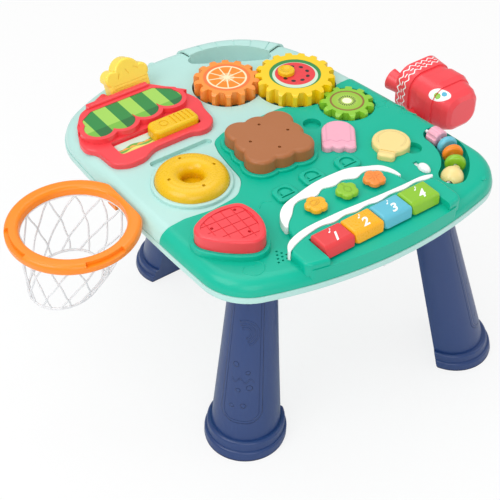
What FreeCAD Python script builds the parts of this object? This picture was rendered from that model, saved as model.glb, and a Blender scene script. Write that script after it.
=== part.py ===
import FreeCAD, Part
import math
import os
from FreeCAD import Vector

os.makedirs("parts", exist_ok=True)

# Play table for a toddler: a bell shaped play panel on three splayed legs.
# X runs along the piano keys to the child's right, Y away from the child, Z up.
# The origin lies on the floor below the middle of the whole outline, hoop and cup included.
# Places are given from the middle of the panel, and every piece is shifted by the same step.

# Driving dimensions, millimetres
deck_height = 260.0
wall = 2.5
panel_depth = 26.0
band_height = 9.0
rim_radius = 15.0
mint_drop = 1.0
seam_gap = 0.4
fit_gap = 0.4
leg_top_radius = 21.0
leg_foot_radius = 39.0
leg_collar_radius = 46.5
leg_collar_step = 2.5
leg_flat = 20.0
leg_collar_height = 22.0
leg_wall = 3.0
leg_splay = 50.0
plug_length = 18.0
gear_module = 5.2
orange_teeth = 14
melon_teeth = 17
kiwi_teeth = 11
gear_backlash = 0.8
gear_sink = 5.0
orange_gear_rise = 12.5
melon_gear_rise = 14.0
kiwi_gear_rise = 5.0
post_radius = 4.0
label_thickness = 0.4
orange_label_radius = 27.5
melon_label_radius = 30.5
kiwi_label_radius = 20.0
gear_crown = 4.2
key_pitch = 38.0
key_gap = 1.0
key_length = 29.0
key_height = 12.0
key_round = 3.0
key_travel_deg = 4.5
key_stem_reach = 16.0
button_radius = 12.0
button_travel = 2.5
housing_height = 10.0
platform_height = 8.0
trim_rise = 1.8
trim_round = 0.7
donut_radius = 40.5
donut_height = 15.0
biscuit_size = 82.0
biscuit_height = 19.0
strawberry_height = 22.0
collar_rise = 7.0
cream_rise = 7.0
pocket_depth = 6.0
hoop_radius = 71.0
hoop_band = 15.5
hoop_thickness = 13.0
hoop_ledge = 4.5
net_length = 80.0
net_cord = 2.2
net_base_radius = 40.0
bead_arc_radius = 71.0
bead_radius = 12.0
bead_pit_radius = 15.5
rod_radius = 2.0
bead_fit = 0.4
cup_length = 80.0
cup_back = -10.0
cup_wall = 2.5
slider_travel = 40.0
switch_travel = 10.0
grip_rise = 3.6
block_hole_radius = 1.8
cell_radius = 7.0
cell_length = 50.0
board_thickness = 1.6
screw_radius = 1.4

# Where things stand on the panel
left_back_corner = (-107.0, 113.0, 75.0)
left_front_corner = (-123.0, -137.0, 58.0)
right_front_corner = (126.0, -151.0, 58.0)
right_back_corner = (33.0, 90.0, 121.0)
side_arcs = (490.0, 2600.0, 300.0, 2600.0)
left_foot = (-137.0, -151.0)
right_foot = (146.0, -189.0)
rear_foot = (-49.0, 136.0)
left_leg_way = -138.0
right_leg_way = -40.0
rear_leg_way = 90.0
melon_centre = (93.0, 66.0)
orange_way = 147.9
kiwi_way = -71.8
donut_centre = (-110.0, -18.0)
biscuit_centre = (-9.0, -20.0)
biscuit_turn = -8.0
lolly_centre = (65.0, -50.0)
lolly_turn = 53.0
mushroom_centre = (105.5, -92.5)
mushroom_turn = 217.0
keys_left = -74.0
keys_back = -174.0
bead_arc_centre = (88.2, -111.0)
switch_centre = (105.5, -147.0)
finger_wells = ((59.0, -10.0), (121.0, -111.0))
speaker_centre = (-104.0, -168.0)
hoop_centre = (-246.0, -1.0)
hoop_cut = -185.0
cup_centre = (218.0, -5.0)
battery_centre = (-115.0, 95.0)
slot_ends = ((26.0, 179.0), (101.0, 136.5))
slot_end_radius = 8.0
grip_ways = (24.0, 96.0)

panel_middle = (33.0, 10.4)

# Derived levels
bead_level = deck_height - 2.5
tray_base = deck_height - panel_depth
tray_floor = tray_base + wall
band_top = tray_base + band_height
mint_level = deck_height - mint_drop
pitch_orange = gear_module * orange_teeth / 2
pitch_melon = gear_module * melon_teeth / 2
pitch_kiwi = gear_module * kiwi_teeth / 2
addendum = 0.615 * gear_module
dedendum = 0.75 * gear_module
corners = (left_front_corner, right_front_corner, right_back_corner, left_back_corner)
gear_floor = deck_height - gear_sink


def polar(centre, radius, degrees):
    a = math.radians(degrees)
    return (centre[0] + radius * math.cos(a), centre[1] + radius * math.sin(a))


orange_centre = polar(melon_centre, pitch_orange + pitch_melon, orange_way)
kiwi_centre = polar(melon_centre, pitch_kiwi + pitch_melon, kiwi_way)


# Helpers
def save(name, shape):
    """Writes one piece, moved so that the origin is under the middle of the whole outline."""
    moved = shape.copy()
    moved.translate(Vector(panel_middle[0], panel_middle[1], 0))
    moved.exportStep("parts/" + name + ".step")


def at(point, z=0.0):
    return Vector(point[0], point[1], z)


def line(p, q):
    return Part.LineSegment(p, q).toShape()


def arc(p, q, r):
    return Part.Arc(p, q, r).toShape()


def prism(wire, z0, z1):
    face = Part.Face(wire)
    face.translate(Vector(0, 0, z0))
    return face.extrude(Vector(0, 0, z1 - z0))


def disc(centre, radius, z0, z1):
    return Part.makeCylinder(radius, z1 - z0, at(centre, z0))


def tube(centre, outer, inner, z0, z1):
    return disc(centre, outer, z0, z1).cut(disc(centre, inner, z0 - 1, z1 + 1))


def box(x0, x1, y0, y1, z0, z1):
    return Part.makeBox(x1 - x0, y1 - y0, z1 - z0, Vector(x0, y0, z0))


def join(shapes):
    first = shapes[0]
    if len(shapes) > 1:
        first = first.multiFuse(shapes[1:])
    return first.removeSplitter()


def group(shapes):
    return Part.makeCompound(shapes)


def unit(dx, dy):
    n = math.hypot(dx, dy)
    return (dx / n, dy / n)


def belt(circles, sides, grow=0.0):
    """Closed outline round corner circles, joined by wide arcs that touch them.

    The circles run anticlockwise. Growing it keeps every centre, so walls stay even.
    """
    touch = []
    count = len(circles)
    for i in range(count):
        x1, y1, r1 = circles[i]
        x2, y2, r2 = circles[(i + 1) % count]
        big = sides[i]
        length = math.hypot(x2 - x1, y2 - y1)
        ux, uy = (x2 - x1) / length, (y2 - y1) / length
        along = ((big - r1) ** 2 - (big - r2) ** 2 + length ** 2) / (2 * length)
        up = math.sqrt((big - r1) ** 2 - along ** 2)
        centre = (x1 + along * ux - up * uy, y1 + along * uy + up * ux)
        touch.append((centre, big, unit(x1 - centre[0], y1 - centre[1]),
                      unit(x2 - centre[0], y2 - centre[1])))
    edges = []
    for i in range(count):
        centre, big, start, end = touch[i]
        mid = unit(start[0] + end[0], start[1] + end[1])
        r = big + grow
        p = [Vector(centre[0] + r * d[0], centre[1] + r * d[1], 0) for d in (start, mid, end)]
        edges.append(arc(p[0], p[1], p[2]))
        x, y, small = circles[(i + 1) % count]
        after = touch[(i + 1) % count][2]
        mid = unit(end[0] + after[0], end[1] + after[1])
        if end[0] * after[1] - end[1] * after[0] < 0:
            mid = (-mid[0], -mid[1])
        r = small + grow
        q = [Vector(x + r * d[0], y + r * d[1], 0) for d in (end, mid, after)]
        edges.append(arc(q[0], q[1], q[2]))
    return Part.Wire(edges)


def rounded(points, radius):
    """Closed outline through the points with every corner rounded."""
    n = len(points)
    radii = radius if isinstance(radius, (list, tuple)) else [radius] * n
    cut = []
    for i in range(n):
        p, c, q = points[i - 1], points[i], points[(i + 1) % n]
        a = unit(p[0] - c[0], p[1] - c[1])
        b = unit(q[0] - c[0], q[1] - c[1])
        half = math.acos(max(-1.0, min(1.0, a[0] * b[0] + a[1] * b[1]))) / 2
        back = radii[i] / math.tan(half)
        m = unit(a[0] + b[0], a[1] + b[1])
        reach = radii[i] / math.sin(half) - radii[i]
        start = Vector(c[0] + a[0] * back, c[1] + a[1] * back, 0)
        end = Vector(c[0] + b[0] * back, c[1] + b[1] * back, 0)
        mid = Vector(c[0] + m[0] * reach, c[1] + m[1] * reach, 0)
        cut.append((start, mid, end))
    edges = []
    for i in range(n):
        start, mid, end = cut[i]
        edges.append(arc(start, mid, end))
        nxt = cut[(i + 1) % n][0]
        if (nxt - end).Length > 1e-6:
            edges.append(line(end, nxt))
    return Part.Wire(edges)


def smooth(points):
    curve = Part.BSplineCurve()
    curve.interpolate([at(p) for p in points], PeriodicFlag=True)
    return Part.Wire([curve.toShape()])


def turned(shape, centre, degrees):
    shape.rotate(at(centre), Vector(0, 0, 1), degrees)
    return shape


def soft_top(shape, z, radius, low=None):
    """Rounds the edges that lie flat at height z."""
    edges = [e for e in shape.Edges
             if abs(e.BoundBox.ZMin - z) < 1e-4 and abs(e.BoundBox.ZMax - z) < 1e-4]
    return shape.makeFillet(radius, edges)


def outline(grow=0.0):
    return belt(corners, side_arcs, grow)


def panel_body(grow, base, top, radius):
    return soft_top(prism(outline(grow), base, top), top, radius)


# Where the deep-green deck covers the panel
def green_region():
    left = -240.0
    right = 240.0
    points = [(left, -62), (-176, -66), (-150, -64), (-118, -69), (-84, -66), (-64, -46),
              (-61, -20), (-57, 8), (-50, 28), (-32, 36), (46, 36), (62, 33), (80, 22),
              (112, 33), (140, 36), (156, 36), (right, 30), (right, -260), (left, -260)]
    sizes = [1, 4, 12, 16, 28, 28, 12, 50, 16, 24, 8, 10, 12, 12, 6, 4, 1, 1, 1]
    return rounded(points, sizes)


# Outlines of the lift-out blocks
def strawberry_outline(grow=0.0):
    circles = ((-122.0, -140.0, 16.0), (-114.0, -107.0, 14.0), (-151.5, -112.0, 16.0))
    return belt(circles, (52.0, 60.0, 95.0), grow)


def eased(wire, radius):
    """The same outline with its inward corners rounded."""
    return wire.makeOffset2D(radius).makeOffset2D(-radius)


def biscuit_outline(grow=0.0):
    """A square with three soft bumps on each side."""
    r = biscuit_size * 0.22
    c = biscuit_size / 2 - r
    x, y = biscuit_centre
    parts = [box(x - c, x + c, y - c, y + c, 0, 1)]
    for i in (-1, 0, 1):
        for j in (-1, 0, 1):
            if i or j:
                parts.append(disc((x + i * c, y + j * c), r, 0, 1))
    solid = turned(join(parts), biscuit_centre, biscuit_turn)
    face = [f for f in solid.Faces if abs(f.CenterOfMass.z) < 1e-6][0]
    wire = eased(face.OuterWire, 2.5)
    if grow:
        wire = wire.makeOffset2D(grow)
    return wire


def lolly_outline(grow=0.0):
    """A round-topped ice with three drips at the other end."""
    w = 19.0
    x, y = lolly_centre
    top = x + 8.0
    low = x - 20.0
    third = w / 3
    p = [Vector(top, y - w, 0), Vector(top + w, y, 0), Vector(top, y + w, 0)]
    edges = [arc(p[0], p[1], p[2]), line(p[2], Vector(low, y + w, 0))]
    for i in (1, 0, -1):
        mid = y + 2 * third * i
        a = Vector(low, mid + third, 0)
        b = Vector(low, mid - third, 0)
        edges.append(arc(a, Vector(low - 5, mid, 0), b))
    edges.append(line(Vector(low, y - w, 0), p[0]))
    wire = eased(Part.Wire(edges), 2.0)
    if grow:
        wire = wire.makeOffset2D(grow)
    wire.rotate(at(lolly_centre), Vector(0, 0, 1), lolly_turn)
    return wire


def mushroom_outline(grow=0.0):
    """A round cap with a short stem."""
    cap = 21.5
    half = 10.0
    end = 31.0
    x, y = mushroom_centre
    stem = prism(rounded(((x, y - half), (x + end, y - half), (x + end, y + half), (x, y + half)), 5), 0, 1)
    solid = disc(mushroom_centre, cap, 0, 1).fuse(stem)
    face = [f for f in solid.removeSplitter().Faces if abs(f.CenterOfMass.z) < 1e-6][0]
    wire = eased(face.OuterWire, 4.0)
    if grow:
        wire = wire.makeOffset2D(grow)
    wire.rotate(at(mushroom_centre), Vector(0, 0, 1), mushroom_turn)
    return wire


def handle_slot(grow=0.0):
    circles = [end + (slot_end_radius,) for end in slot_ends]
    return belt(circles, (600.0, 80.0), grow)


def grip_plan(grow=0.0):
    """Plan of the grip: from the two ends of the hand slot out past the rim."""
    centre = right_back_corner[:2]
    far = [polar(centre, 190.0, a) for a in (grip_ways[0], sum(grip_ways) / 2, grip_ways[1])]
    points = [at(p) for p in [slot_ends[1]] + far + [slot_ends[0]]]
    wire = Part.makePolygon(points + [points[0]])
    if grow:
        wire = wire.makeOffset2D(grow)
    return wire


def platform_outline(grow=0.0):
    """The step that carries the three fruit buttons."""
    circles = ((-74.0, -158.0, 8.0), (62.0, -158.0, 8.0), (44.0, -139.0, 25.0),
               (-48.0, -138.0, 26.0))
    return belt(circles, (4000.0, 800.0, 160.0, 800.0), grow)


def housing_outline(grow=0.0):
    """The step that frames the piano keys."""
    circles = ((-92.0, -240.0, 6.0), (91.0, -240.0, 6.0), (80.0, -182.0, 18.0),
               (-82.0, -180.0, 18.0))
    return belt(circles, (4000.0, 1200.0, 2500.0, 1200.0), grow)


def ring_arc(radius, start, stop, small, z):
    """A bent round bar on the bead arc."""
    spine = arc(*[at(polar(bead_arc_centre, radius, d), z) for d in (start, (start + stop) / 2, stop)])
    way = Part.Wire([spine])
    first = polar(bead_arc_centre, radius, start)
    a = math.radians(start)
    circle = Part.Circle(at(first, z), Vector(-math.sin(a), math.cos(a), 0), small).toShape()
    return way.makePipeShell([Part.Wire([circle])], True, False)


def bead_pit(small):
    z = bead_level + 1.0
    start, stop = 1.5, -60.0
    body = ring_arc(bead_arc_radius, start, stop, small, z)
    ends = [Part.makeSphere(small, at(polar(bead_arc_centre, bead_arc_radius, d), z))
            for d in (start, stop)]
    return body.multiFuse(ends)


# Panel shells
deck_bosses = ((-160, 26), (-150, 158), (-20, 203), (4, 58), (150, 12), (163, -80),
               (-152, -168), (20, -207), (147, -193), (62, 7))
grip_boss = polar(right_back_corner[:2], right_back_corner[2] - 13.7, sum(grip_ways) / 2)
screw_spots = deck_bosses + (grip_boss,)


def pits():
    """Round wells in which the gears turn."""
    wells = [(orange_centre, pitch_orange), (melon_centre, pitch_melon), (kiwi_centre, pitch_kiwi)]
    inner = join([disc(c, r + addendum + 1.5, gear_floor - 1.0, deck_height + 20) for c, r in wells])
    outer = join([disc(c, r + addendum + 1.5 + wall, gear_floor - 1.0 - wall, deck_height - 4)
                  for c, r in wells])
    return inner, outer


def blocks_hollow(shell, wire_of, level, collar, depth):
    """Adds a raised collar and a shallow well for one lift-out block."""
    inner = prism(wire_of(fit_gap), level - depth, level + 60)
    outer = prism(wire_of(fit_gap + 4.0), level - depth - wall, level + collar)
    if collar > 1:
        outer = soft_top(outer, level + collar, 1.8)
    return shell.fuse(outer).cut(inner)


def donut_outline(grow=0.0):
    return Part.Wire([Part.Circle(at(donut_centre), Vector(0, 0, 1), donut_radius + grow).toShape()])


def finger_dips():
    dips = []
    for centre in finger_wells:
        dips.append(disc(centre, 10.5, deck_height - pocket_depth, deck_height + 6.0))
    return dips


def key_slots():
    cuts = []
    for i in range(4):
        x = keys_left + key_pitch * (i + 0.5)
        y = keys_back - key_stem_reach
        cuts.append(box(x - 8, x + 8, y - 7, y + 7, deck_height - 12, deck_height + 20))
    return cuts


button_spots = ((-37.0, -138.0), (3.5, -138.5), (39.5, -140.0))


def full_deck(top):
    """Hollow lid over the whole panel, before it is parted in two."""
    outer = panel_body(-1.0, band_top + 0.3, top, rim_radius)
    inner = panel_body(-1.0 - wall, band_top - 5, top - wall, rim_radius - wall)
    return outer.cut(inner)


def bosses(points, top):
    out = []
    for p in points:
        out.append(disc(p, 4.5, tray_floor + 4.2, top - wall / 2).cut(
            disc(p, screw_radius, tray_floor + 4.0, top - wall - 2)))
    return out


def slot_wall(top):
    tall = prism(handle_slot(wall), tray_base, top - wall / 2)
    return tall


def front_corners(body):
    """The upright edges at the two ends of a front wall."""
    found = []
    for e in body.Edges:
        b = e.BoundBox
        if b.ZLength > 5 and b.XLength < 1e-3 and b.YLength < 1e-3 and b.YMax < -192:
            found.append(e)
    return found


def housing_block():
    """The key step, held inside the front rim, with round corners."""
    body = prism(housing_outline(), deck_height - 6, deck_height + housing_height)
    body = body.common(prism(outline(-2.0), band_top + 0.3, deck_height + 60))
    return body.makeFillet(9.0, front_corners(body))


def deck_green():
    region = prism(green_region(), 200, 330)
    well_in, well_out = pits()
    body = full_deck(deck_height)
    plinth = soft_top(housing_block(), deck_height + housing_height, 4.0)
    bay = box(-96, 92, -240, -190, 0, 400)
    skirt = prism(outline(-1.0), band_top + 0.3, deck_height + 1.5).common(bay)
    skirt = skirt.makeFillet(7.0, front_corners(skirt))
    under = prism(outline(-1.0 - wall), band_top - 5, deck_height + 1.5 - wall)
    under = under.common(box(-96 + wall, 92 - wall, -240, -188, 0, 400))
    lip_room = prism(outline(-1.0 - wall), band_top - 5, band_top + 3.2).common(bay)
    under = under.fuse(lip_room)
    platform = prism(platform_outline(), deck_height - 2, deck_height + platform_height)
    platform = soft_top(platform, deck_height + platform_height, 2.5)
    body = body.multiFuse([plinth, skirt, platform, well_out])
    body = body.cut(under)
    body = blocks_hollow(body, biscuit_outline, deck_height, 4.0, pocket_depth)
    body = blocks_hollow(body, strawberry_outline, deck_height, collar_rise, pocket_depth)
    body = blocks_hollow(body, lolly_outline, deck_height, 0.0, pocket_depth)
    body = blocks_hollow(body, mushroom_outline, deck_height, 0.0, pocket_depth)
    body = body.fuse(bead_pit(bead_pit_radius + wall).common(
        panel_body(-1.0, band_top + 0.3, deck_height, rim_radius)))
    body = body.cut(bead_pit(bead_pit_radius))
    body = body.cut(well_in)
    for spot in finger_wells:
        body = body.fuse(disc(spot, 10.5 + wall, deck_height - pocket_depth - wall, deck_height - 1.0))
    for dip in finger_dips():
        body = body.cut(dip)
    lolly_space = prism(lolly_outline(fit_gap), deck_height - pocket_depth, deck_height + 30)
    mushroom_space = prism(mushroom_outline(fit_gap), deck_height - pocket_depth, deck_height + 30)
    body = body.cut(lolly_space).cut(mushroom_space)
    body = body.multiFuse(ornaments())
    inside = panel_body(-1.0 - wall, band_top - 5, deck_height - wall, rim_radius - wall)
    hollow_housing = prism(housing_outline(-wall), deck_height - 8, deck_height + housing_height - wall)
    hollow_housing = hollow_housing.common(prism(outline(-2.0 - wall), 0, 400))
    hollow_platform = prism(platform_outline(-wall), deck_height - 4,
                            deck_height + platform_height - wall)
    body = body.cut(hollow_housing.cut(box(-200, 200, -260, keys_back + wall, 0, 400)))
    body = body.cut(hollow_platform)
    key_bay = box(keys_left - 0.6, keys_left + 4 * key_pitch + 0.6, -260, keys_back + 0.8,
                  deck_height + 1.5, deck_height + 40)
    body = body.cut(key_bay)
    under_bay = box(keys_left + 3, keys_left + 4 * key_pitch - 3, -200, keys_back - 2,
                    deck_height - 8, deck_height - 1.0)
    body = body.cut(under_bay)
    for cut in key_slots():
        body = body.cut(cut)
    for p in button_spots:
        body = body.cut(disc(p, 8.0, deck_height - 5, deck_height + 40))
    sx, sy = switch_centre
    body = body.cut(box(sx - 3, sx + 3, sy - 6, sy + 6 + switch_travel, deck_height - 8, deck_height + 5))
    body = body.cut(group(speaker_holes()))
    body = body.common(region)
    own = [p for p in deck_bosses if in_green(p)]
    body = body.multiFuse(bosses(own, deck_height))
    rod = ring_arc(bead_arc_radius, 15.4, -73.9, rod_radius + 0.05, bead_level)
    body = body.cut(rod)
    return largest(body)


def largest(shape):
    solids = sorted(shape.Solids, key=lambda s: -s.Volume)
    return solids[0]


def in_green(p):
    return p[1] < -60 or (p[0] > 40 and p[1] < 34)


def speaker_holes():
    holes = []
    for row in range(4):
        for k in range(row + 1):
            x = speaker_centre[0] + (k - row / 2) * 5.4
            y = speaker_centre[1] + 8.0 - row * 4.8
            holes.append(disc((x, y), 1.3, deck_height - 12, deck_height + 6))
    return holes


def ornaments():
    """Three raised tabs, each with an arch and a slope inside it."""
    out = []
    for x, y in ((-43.0, -95.0), (-3.0, -89.5), (43.0, -92.5)):
        pad = prism(rounded(((x - 14, y - 11), (x + 14, y - 11), (x + 12, y + 13), (x - 12, y + 13)), 7),
                    deck_height - 1, deck_height + 4)
        pad = soft_top(pad, deck_height + 4, 2.0)
        arch = tube((x, y + 1), 8.5, 5.0, deck_height + 2.0, deck_height + 6)
        arch = arch.cut(box(x - 20, x + 20, y - 30, y - 2, 0, 400))
        sill = box(x - 8.5, x + 8.5, y - 5.5, y - 3.5, deck_height + 2.0, deck_height + 6)
        out.append(pad.cut(arch).cut(sill))
    return out


def deck_mint():
    region = prism(green_region().makeOffset2D(seam_gap), 200, 330)
    well_in, well_out = pits()
    body = full_deck(mint_level)
    body = body.fuse(well_out.common(box(-300, 300, -300, 300, 0, mint_level - 0.5)))
    body = body.fuse(slot_wall(mint_level))
    body = body.cut(prism(handle_slot(), tray_base - 5, mint_level + 40))
    body = blocks_hollow(body, donut_outline, mint_level, 4.0, pocket_depth)
    body = body.cut(well_in)
    groove = rounded(((-130, 28), (-50, 28), (-50, 38.5), (-130, 38.5)), 5.2)
    well = prism(groove, mint_level - 5, mint_level + 5)
    trough = prism(rounded(((-133, 25), (-47, 25), (-47, 41.5), (-133, 41.5)), 7),
                   mint_level - 7, mint_level - 0.5)
    body = body.fuse(trough).cut(well)
    body = body.cut(region).cut(prism(grip_plan(seam_gap), 200, 330))
    own = [p for p in deck_bosses if not in_green(p)]
    body = body.multiFuse(bosses(own, mint_level))
    return largest(body)


def leg_places():
    return ((left_foot, left_leg_way), (right_foot, right_leg_way), (rear_foot, rear_leg_way))


def leg_top(foot, way):
    return polar(foot, -leg_splay, way)


def d_wire(centre, radius, way, z, inset=0.0):
    """A D section facing one way: a round front and a flat back at a fixed distance.

    The inset moves the arc and the flat inwards by the same amount.
    """
    flat = leg_flat - inset
    r = radius - inset
    half = 180.0 - math.degrees(math.acos(flat / r))
    a = [polar(centre, r, way + d) for d in (-half, 0, half)]
    return Part.Wire([arc(at(a[0], z), at(a[1], z), at(a[2], z)), line(at(a[2], z), at(a[0], z))])


def leg_sockets():
    """Three short D shaped collars below the tray, each open at both ends."""
    rings = []
    for foot, way in leg_places():
        top = leg_top(foot, way)
        size = leg_top_radius + 3.2
        outer = prism(d_wire(top, size, way, 0), tray_base - plug_length, tray_base - 0.02)
        inner = prism(d_wire(top, size, way, 0, 3.0), tray_base - plug_length - 1, tray_base + 1)
        rings.append(outer.cut(inner).cut(screw_path(foot, way, screw_radius + 0.3)))
    return group(rings)


def base_tray():
    body = prism(outline(0), tray_base, band_top)
    body = body.makeFillet(3.0, [e for e in body.Edges if abs(e.BoundBox.ZMax - tray_base) < 1e-4])
    body = body.cut(prism(outline(-wall), tray_floor, band_top + 5))
    lip = prism(outline(-1.0 - wall - 0.2), tray_floor - 1, band_top + 2.4)
    lip = lip.cut(prism(outline(-1.0 - wall - 2.0), tray_floor - 2, band_top + 6))
    body = body.fuse(lip)
    bx, by = battery_centre
    body = body.cut(box(bx - 33, bx + 33, by - 28, by + 28, tray_base - 1, tray_floor + 1))
    for p in screw_spots:
        body = body.fuse(disc(p, 5.5, tray_base, tray_floor + 4))
        body = body.cut(disc(p, 3.6, tray_base - 1, tray_base + 3)).cut(
            disc(p, screw_radius + 0.4, tray_base, tray_floor + 6))
    body = body.cut(prism(handle_slot(wall + 0.3), tray_base - 5, tray_floor + 5))
    for x, y in board_posts:
        body = body.fuse(disc((x, y), 3.5, tray_floor - 0.5, board_level))
    body = body.fuse(tube(speaker_centre, 18.0, 16.2, tray_floor - 0.5, tray_floor + 8))
    for y in tongue_rows:
        body = body.cut(box(-190, -172, hoop_centre[1] + y - 8.3, hoop_centre[1] + y + 8.3,
                            tongue_low - 0.3, tongue_low + 4.3))
    body = body.cut(box(150, 190, -62.3, -33.7, tongue_low - 0.3, tongue_low + 4.3))
    return largest(body)


board_level = deck_height - 16.0
dome_height = 3.0
dome_top = board_level + board_thickness + dome_height
board_posts = ((-72, -198), (64, -198), (-72, -135), (64, -135), (0, -172))
tongue_rows = (-22.0, 22.0)
tongue_low = tray_floor + 1.0


def handle_grip():
    """A ribbed bar between the hand slot and the rim, set into a notch of the mint deck."""
    low = band_top - 8.0
    top = mint_level + grip_rise
    outer = panel_body(0.6, low, top, rim_radius + 2.0)
    outer = outer.cut(box(-400, 400, -400, 400, 0, band_top + 1.5))
    skirt = panel_body(-1.0, band_top + 0.3, mint_level, rim_radius)
    hollow = panel_body(-1.0 - wall, band_top - 5, top - wall, rim_radius - wall)
    body = outer.fuse(skirt).cut(hollow).fuse(slot_wall(top))
    body = body.common(prism(grip_plan(), 200, 300)).cut(prism(handle_slot(), 200, 300))
    body = body.multiFuse(bosses([grip_boss], top))
    centre = right_back_corner[:2]
    groove = outer.cut(panel_body(-0.2, low, top - 0.8, rim_radius + 1.6))
    for i in range(1, 6):
        way = grip_ways[0] + (grip_ways[1] - grip_ways[0]) * i / 6
        rib = box(centre[0] + 60, centre[0] + 160, centre[1] - 0.9, centre[1] + 0.9, 200, mint_level + 40)
        body = body.cut(turned(rib, centre, way).common(groove))
    return largest(body)


# Legs
def leg(foot, way):
    """Hollow tapered leg that leans outwards, with a wide collar and a plug for the socket."""
    size = leg_top_radius + 3.2
    top = leg_top(foot, way)
    high = tray_base - plug_length - 0.3
    plug = prism(d_wire(top, size, way, 0, 3.2), high - 2, tray_base - 0.4)
    plug = plug.cut(prism(d_wire(top, size, way, 0, 3.2 + leg_wall), high - 3, tray_base - 3.0))

    def run(r0, r1, inset, z0, z1):
        wires = [d_wire(polar(foot, -leg_splay * z / high, way), r, way, z, inset)
                 for r, z in ((r0, z0), (r1, z1))]
        return Part.makeLoft(wires, True, True)

    def skin(inset, z0, z1):
        radii = []
        for z in (z0, z1):
            share = (z - leg_collar_height) / (high - leg_collar_height)
            radii.append(leg_foot_radius + (size - leg_foot_radius) * share)
        return run(radii[0], radii[1], inset, z0, z1)

    def ring(radius, z, soft):
        body = run(radius, radius, 0.0, 2.0, z)
        edges = [e for e in body.Edges if abs(e.BoundBox.ZMin - z) < 1e-4 and e.Length > 2.5 * radius]
        return body.makeFillet(soft, edges)

    narrow = leg_collar_radius - leg_collar_step
    shaft = skin(0.0, leg_collar_height - 6, high)
    hollow = skin(leg_wall, leg_collar_height - 7, high + 0.5)
    low_ring = ring(leg_collar_radius, 0.52 * leg_collar_height, 3.2)
    high_ring = ring(narrow, leg_collar_height, 3.6)
    bottom = run(narrow, narrow, leg_wall, 1.0, leg_collar_height - 6)
    body = shaft.fuse(low_ring).fuse(high_ring).cut(hollow).cut(bottom)
    ledge = prism(d_wire(top, size, way, 0, 1.3), high - leg_wall, high)
    ledge = ledge.cut(prism(d_wire(top, size, way, 0, 3.2 + leg_wall), high - 5, high + 1))
    return largest(body.multiFuse([ledge, plug]))


def foot_cap(foot, way):
    """A soft tread that closes the bottom of the leg."""
    plate = prism(d_wire(foot, leg_collar_radius, way, 0, 0.6), 0, 1.7)
    narrow = leg_collar_radius - leg_collar_step
    inset = prism(d_wire(foot, narrow, way, 0, leg_wall + 1.9), 1.6, 5.5)
    inset = inset.cut(prism(d_wire(foot, narrow, way, 0, leg_wall + 4.6), 3.6, 9.0))
    return plate.fuse(inset)


# Gears
def gear_wire(teeth, turn):
    """Involute teeth with short tips; each flank is one arc through three of its points."""
    press = math.radians(25.0)
    pitch = gear_module * teeth / 2
    base = pitch * math.cos(press)
    tip = pitch + addendum
    root = pitch - dedendum
    half = (math.pi * gear_module / 2 - gear_backlash) / (2 * pitch)

    def inv(r):
        c = min(1.0, base / r)
        a = math.acos(c)
        return math.tan(a) - a

    def flank(r):
        if r < base:
            return half + inv(pitch)
        return half + inv(pitch) - inv(r)

    low = max(base, root)
    radii = (low, (low + tip) / 2, tip)
    edges = []
    step = 2 * math.pi / teeth
    for k in range(teeth):
        mid = math.radians(turn) + k * step

        def spot(r, a):
            return Vector(r * math.cos(mid + a), r * math.sin(mid + a), 0)

        rise = [spot(r, -flank(r)) for r in radii]
        fall = [spot(r, flank(r)) for r in reversed(radii)]
        foot_in = spot(root, -flank(low))
        foot_out = spot(root, flank(low))
        if low - root > 1e-6:
            edges.append(line(foot_in, rise[0]))
        edges.append(arc(rise[0], rise[1], rise[2]))
        edges.append(arc(rise[2], spot(tip, 0), fall[0]))
        edges.append(arc(fall[0], fall[1], fall[2]))
        if low - root > 1e-6:
            edges.append(line(fall[2], foot_out))
        nxt = Vector(root * math.cos(mid + step - flank(low)), root * math.sin(mid + step - flank(low)), 0)
        edges.append(arc(foot_out, spot(root, step / 2), nxt))
    return Part.Wire(edges)


def gear(centre, teeth, turn, rise, label):
    z0 = gear_floor
    z1 = deck_height + rise
    tip = gear_module * teeth / 2 + addendum
    body = prism(gear_wire(teeth, turn), z0, z1)
    crown = Part.makeCylinder(tip + 0.5, z1 - z0, Vector(0, 0, z0))
    crown = soft_top(crown, z1, gear_crown)
    body = body.common(crown)
    root = gear_module * teeth / 2 - dedendum
    body = body.cut(Part.makeCylinder(root - 4, z1 - z0 - 4, Vector(0, 0, z0 - 1)))
    hub = Part.makeCylinder(post_radius + 3, z1 - z0 - 3, Vector(0, 0, z0 + 0.6))
    body = body.fuse(hub)
    body = body.cut(Part.makeCylinder(post_radius + 0.08, z1 - z0 - 4, Vector(0, 0, z0 - 1)))
    body = body.cut(Part.makeCylinder(label + 0.2, 2, Vector(0, 0, z1 - label_thickness)))
    body.translate(at(centre))
    return body


def gear_label(centre, radius, rise):
    z1 = deck_height + rise
    return disc(centre, radius, z1 - label_thickness, z1 - 0.02)


def gear_post(centre, rise):
    z0 = gear_floor - 1.0
    post = disc(centre, post_radius, z0, deck_height + rise - 5.2)
    return post.fuse(disc(centre, post_radius + 2, z0 + 0.02, z0 + 1.4))


# The turn of each gear puts its teeth into the gaps of the next one
melon_turn = orange_way
orange_turn = orange_way + 180.0 + 180.0 / orange_teeth
melon_step = 360.0 / melon_teeth
shift = (kiwi_way - melon_turn) / melon_step
lean = (round(shift) - shift) * melon_step
kiwi_turn = kiwi_way + 180.0 - lean * melon_teeth / kiwi_teeth + 180.0 / kiwi_teeth
knob_centre = (melon_centre[0] - 7.5, melon_centre[1] + 7.5)
knob_base = deck_height + melon_gear_rise


def melon_gear():
    body = gear(melon_centre, melon_teeth, melon_turn, melon_gear_rise, melon_label_radius)
    pin = disc(knob_centre, 3.0, knob_base - 3.5, knob_base + 1.8)
    return body.fuse(pin)


def melon_label():
    return gear_label(melon_centre, melon_label_radius, melon_gear_rise).cut(
        disc(knob_centre, 3.3, knob_base - 2, knob_base + 2))


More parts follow.
